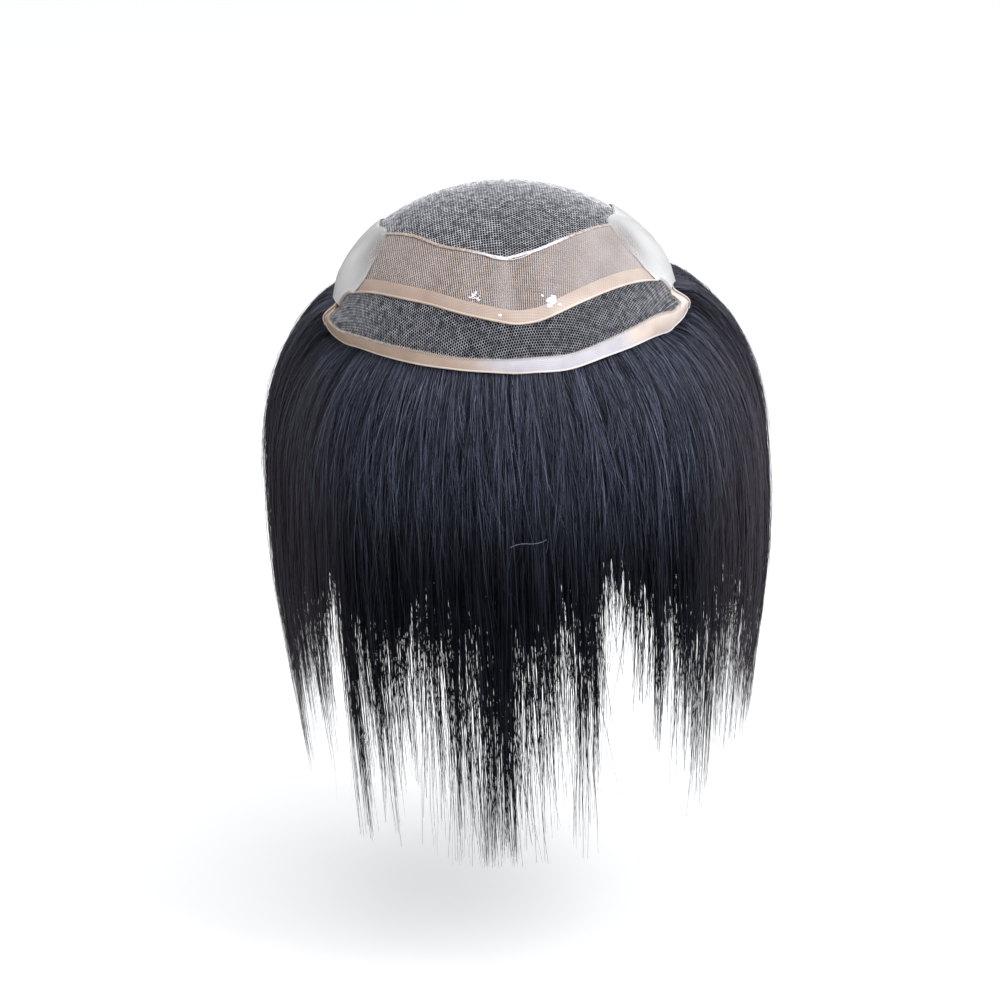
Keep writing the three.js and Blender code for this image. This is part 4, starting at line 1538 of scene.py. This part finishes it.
    def ribbons(
        self, sector: Sector, layer: Layer, count: int, random: np.random.Generator
    ) -> tuple[Shape, Array]:
        """The ribbons of one layer of a sector.

        Args:
            sector: The stretch of the hair that they hang in.
            layer: How they hang.
            count: How many there are.
            random: Draws what differs from one to the next.

        Returns:
            Their shape, and the shade of each of its points, painted glints and painted shade included.
        """
        steps = layer.points
        column = (count, 1)
        root = random.uniform(sector.start + 0.1, sector.end - 0.1, count)
        reach = np.array(layer.reach)[::-1]
        end = np.interp(random.uniform(0, 1, count), reach[:, 0], reach[:, 1])
        bounds = self.uneven(sector, layer.lock, random)
        lock = np.searchsorted(bounds, root) - 1
        tuft = blend(bounds[lock], bounds[lock + 1], 0.5)
        longer = random.uniform(0.82, 1.12, len(bounds))[lock]
        local = self.length_at(root)
        end = np.where(end > layer.steady, np.minimum(1, end * blend(1, longer * local, layer.varied)), end)
        along = np.linspace(0, 1, steps)[None]
        fall = end[:, None] * along
        base = np.broadcast_to(root[:, None], fall.shape)
        lock_azimuth, short, ridge = self.gathered(sector, base, fall)
        hold = random.uniform(0.1, 0.6, column)
        pull = random.uniform(*layer.pull, column) * smooth(0.15, 1.0, fall / 0.8)
        azimuth = blend(base, lock_azimuth, hold)
        azimuth = azimuth + pull * (tuft - root)[:, None]
        clumps = self.uneven(sector, (0.6, 2.4), random)
        clump = np.searchsorted(clumps, root) - 1
        fine = blend(clumps[clump], clumps[clump + 1], 0.5) + random.normal(0, 0.12, count)
        drawn = 0.75 * random.uniform(0, 1, column) * smooth(0.2, 1, along)
        azimuth = azimuth + drawn * (fine - root)[:, None]
        swing = random.normal(0, 1, column) * layer.swing
        swing = swing * np.where(random.uniform(0, 1, column) < 0.08, 3, 1)
        azimuth = azimuth + swing * fall
        curled = np.where(random.uniform(0, 1, column) < 0.2, 4.0, 1.0)
        hook = random.normal(0, 1, column) * layer.hook * curled * smooth(0.55, 1.2, along)
        turns = random.uniform(0.7, 2.2, column)
        phase = random.uniform(0, 1, column)
        wave = layer.wave * np.sin(2 * np.pi * (turns * fall * 3 + phase)) * smooth(0.1, 0.8, fall)
        azimuth = azimuth + hook + wave
        depth = blend(layer.depth[0], layer.depth[1], random.uniform(0, 1, column) ** 1.4)
        depth = depth + layer.lifted * random.uniform(0, 1, column) * smooth(0.4, 1, along)
        depth = depth + 0.08 * np.sin(2 * np.pi * (fall * 2 + phase)) * smooth(0.02, 0.2, fall)
        path = self.falling(azimuth, fall, depth, ridge)
        path[..., 2] += short * hold
        phi = np.radians(azimuth)
        across = np.stack([np.cos(phi), np.sin(phi), np.zeros_like(phi)], -1)
        outward = np.stack([np.sin(phi), -np.cos(phi), np.zeros_like(phi)], -1)
        tone, turn = self.wisps(sector, root, random)
        twist = 0.7 * turn[:, None] + random.uniform(-0.4, 0.4, column) + 0.4 * np.sin(4 * fall + 6 * phase)
        flat_way = across * np.cos(twist)[..., None] + outward * np.sin(twist)[..., None]
        width = layer.width * random.uniform(0.7, 1.3, column) * (1 - 0.7 * along**3)
        sides = [path + sign * flat_way * width[..., None] / 2 for sign in (-1, 1)]
        number = np.arange(count * steps * 2).reshape(count, steps, 2)
        cells = np.stack([number[:, :-1, 0], number[:, 1:, 0], number[:, 1:, 1], number[:, :-1, 1]], -1)
        tone = (0.35 * tone + 0.65 * random.uniform(0, 1, count))[:, None] ** 2.8
        # Painted light: short painted highlights along each strand, and painted shade that darkens the
        # strands lower down the fall.
        glints = 1 + 0.5 * np.sin(2 * np.pi * (turns * fall * 9 + phase))
        lit = glints * (1 - 0.75 * smooth(0.18, 0.42, fall))
        shade = blend(*layer.shade, tone) * np.repeat(lit, 2, axis=1)
        return Shape(np.stack(sides, 2).reshape(-1, 3), quads(cells.reshape(-1, 4))), shade.ravel()

    def wisps(self, sector: Sector, root: Array, random: np.random.Generator) -> tuple[Array, Array]:
        """The tone, from 0 to 1, and the turn, from -1 to 1, that neighbouring strands share."""
        bounds = self.uneven(sector, (0.1, 0.4), random)
        wisp = np.searchsorted(bounds, root) - 1
        return random.uniform(0, 1, len(bounds))[wisp], random.uniform(-1, 1, len(bounds))[wisp]

    @staticmethod
    def uneven(sector: Sector, widths: Row, random: np.random.Generator) -> Array:
        """Azimuths that split a sector into parts of uneven widths."""
        count = int((sector.end - sector.start) / widths[0]) + 2
        return sector.start + np.concatenate([[0], np.cumsum(random.uniform(*widths, count))])


@dataclass(frozen=True)
class Softbox:
    """A square light."""

    name: str
    azimuth: float
    elevation: float
    distance: float
    size: float
    power: float
    colour: Colour = (1.0, 1.0, 1.0)


@dataclass
class Studio:
    """A pale floor, soft lights and the camera."""

    floor: float = -0.34
    floor_size: float = 14.0
    target: Row = (-0.0052, 0.0, -0.1377)
    azimuth: float = -2.0
    elevation: float = 19.8
    roll: float = -2.01
    distance: float = 1.96
    lens: float = 159.4
    boxes: tuple[Softbox, ...] = (
        Softbox("front_softbox", 57.0, 38.0, 1.3, 0.7, 13.0, (0.95, 0.97, 1.0)),
        Softbox("top_softbox", 0.0, 80.0, 1.1, 0.9, 5.0),
    )

    def build(self) -> None:
        """Sets the stage."""
        Bench.clear()
        bpy.ops.mesh.primitive_plane_add(size=self.floor_size, location=(0, 0, self.floor))
        floor = bpy.context.object
        floor.name = "studio_floor"
        nodes = Nodes("pale floor")
        nodes.set(Roughness=0.9, Specular_IOR_Level=0.0, Base_Color=(0.94, 0.94, 0.94))
        nodes.set(Emission_Color=(1.0, 1.0, 1.0), Emission_Strength=0.09)
        floor.data.materials.append(nodes.material)
        floor.visible_glossy = False
        self.sky()
        for box in self.boxes:
            self.light(box)
        self.camera()
        bpy.context.scene.view_settings.view_transform = "Standard"

    @staticmethod
    def sky() -> None:
        """A pale surround, dimmer below the horizon."""
        world = bpy.data.worlds.new("pale surround")
        bpy.context.scene.world = world
        world.use_nodes = True
        tree = world.node_tree
        background = tree.nodes["Background"]
        where = tree.nodes.new("ShaderNodeTexCoord").outputs["Generated"]
        height = tree.nodes.new("ShaderNodeSeparateXYZ")
        ramp = tree.nodes.new("ShaderNodeValToRGB")
        ramp.color_ramp.elements[0].position = 0.0
        ramp.color_ramp.elements[0].color = (0.10, 0.10, 0.11, 1)
        ramp.color_ramp.elements[1].position = 0.25
        ramp.color_ramp.elements[1].color = (0.97, 0.98, 1.0, 1)
        tree.links.new(where, height.inputs["Vector"])
        tree.links.new(height.outputs["Z"], ramp.inputs["Fac"])
        tree.links.new(ramp.outputs["Color"], background.inputs["Color"])
        background.inputs["Strength"].default_value = 0.92

    def light(self, box: Softbox) -> None:
        """Hangs one softbox, aimed at the hairpiece."""
        phi, rise = np.radians(box.azimuth), np.radians(box.elevation)
        away = np.array([np.sin(phi) * np.cos(rise), -np.cos(phi) * np.cos(rise), np.sin(rise)])
        data = bpy.data.lights.new(box.name, "AREA")
        data.size = box.size
        data.energy = box.power
        data.color = box.colour
        light = bpy.data.objects.new(box.name, data)
        light.matrix_world = self.facing(np.array(self.target), away, box.distance, 0.0)
        bpy.context.scene.collection.objects.link(light)

    @staticmethod
    def facing(target: Array, back: Array, distance: float, roll: float) -> Matrix:
        """The placing of something that looks at a target from a distance."""
        right = unit(np.cross([0, 0, 1], back))
        up = np.cross(back, right)
        turned = right * np.cos(roll) + up * np.sin(roll)
        raised = -right * np.sin(roll) + up * np.cos(roll)
        placing = np.eye(4)
        placing[:3, 0], placing[:3, 1], placing[:3, 2] = turned, raised, back
        placing[:3, 3] = target + back * distance
        return Matrix(placing.tolist())

    def camera(self) -> None:
        """The camera at the height and tilt of a seated viewer."""
        phi, rise = np.radians(self.azimuth), np.radians(self.elevation)
        back = np.array([np.sin(phi) * np.cos(rise), -np.cos(phi) * np.cos(rise), np.sin(rise)])
        data = bpy.data.cameras.new("camera")
        data.lens = self.lens
        data.sensor_width = 36.0
        camera = bpy.data.objects.new("camera", data)
        camera.matrix_world = self.facing(np.array(self.target), back, self.distance, np.radians(self.roll))
        bpy.context.scene.collection.objects.link(camera)
        bpy.context.scene.camera = camera


def main() -> None:
    """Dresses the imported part."""
    logging.basicConfig(level=logging.INFO, format="%(message)s")
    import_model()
    Studio().build()
    CrownPanel().build()
    GauzeBand().build()
    GauzeHem().build()
    FrontLace().build()
    EdgeStrip().build()
    ClearFilm().build()
    Hair().build(HairFinish())


if __name__ == "__main__":
    main()
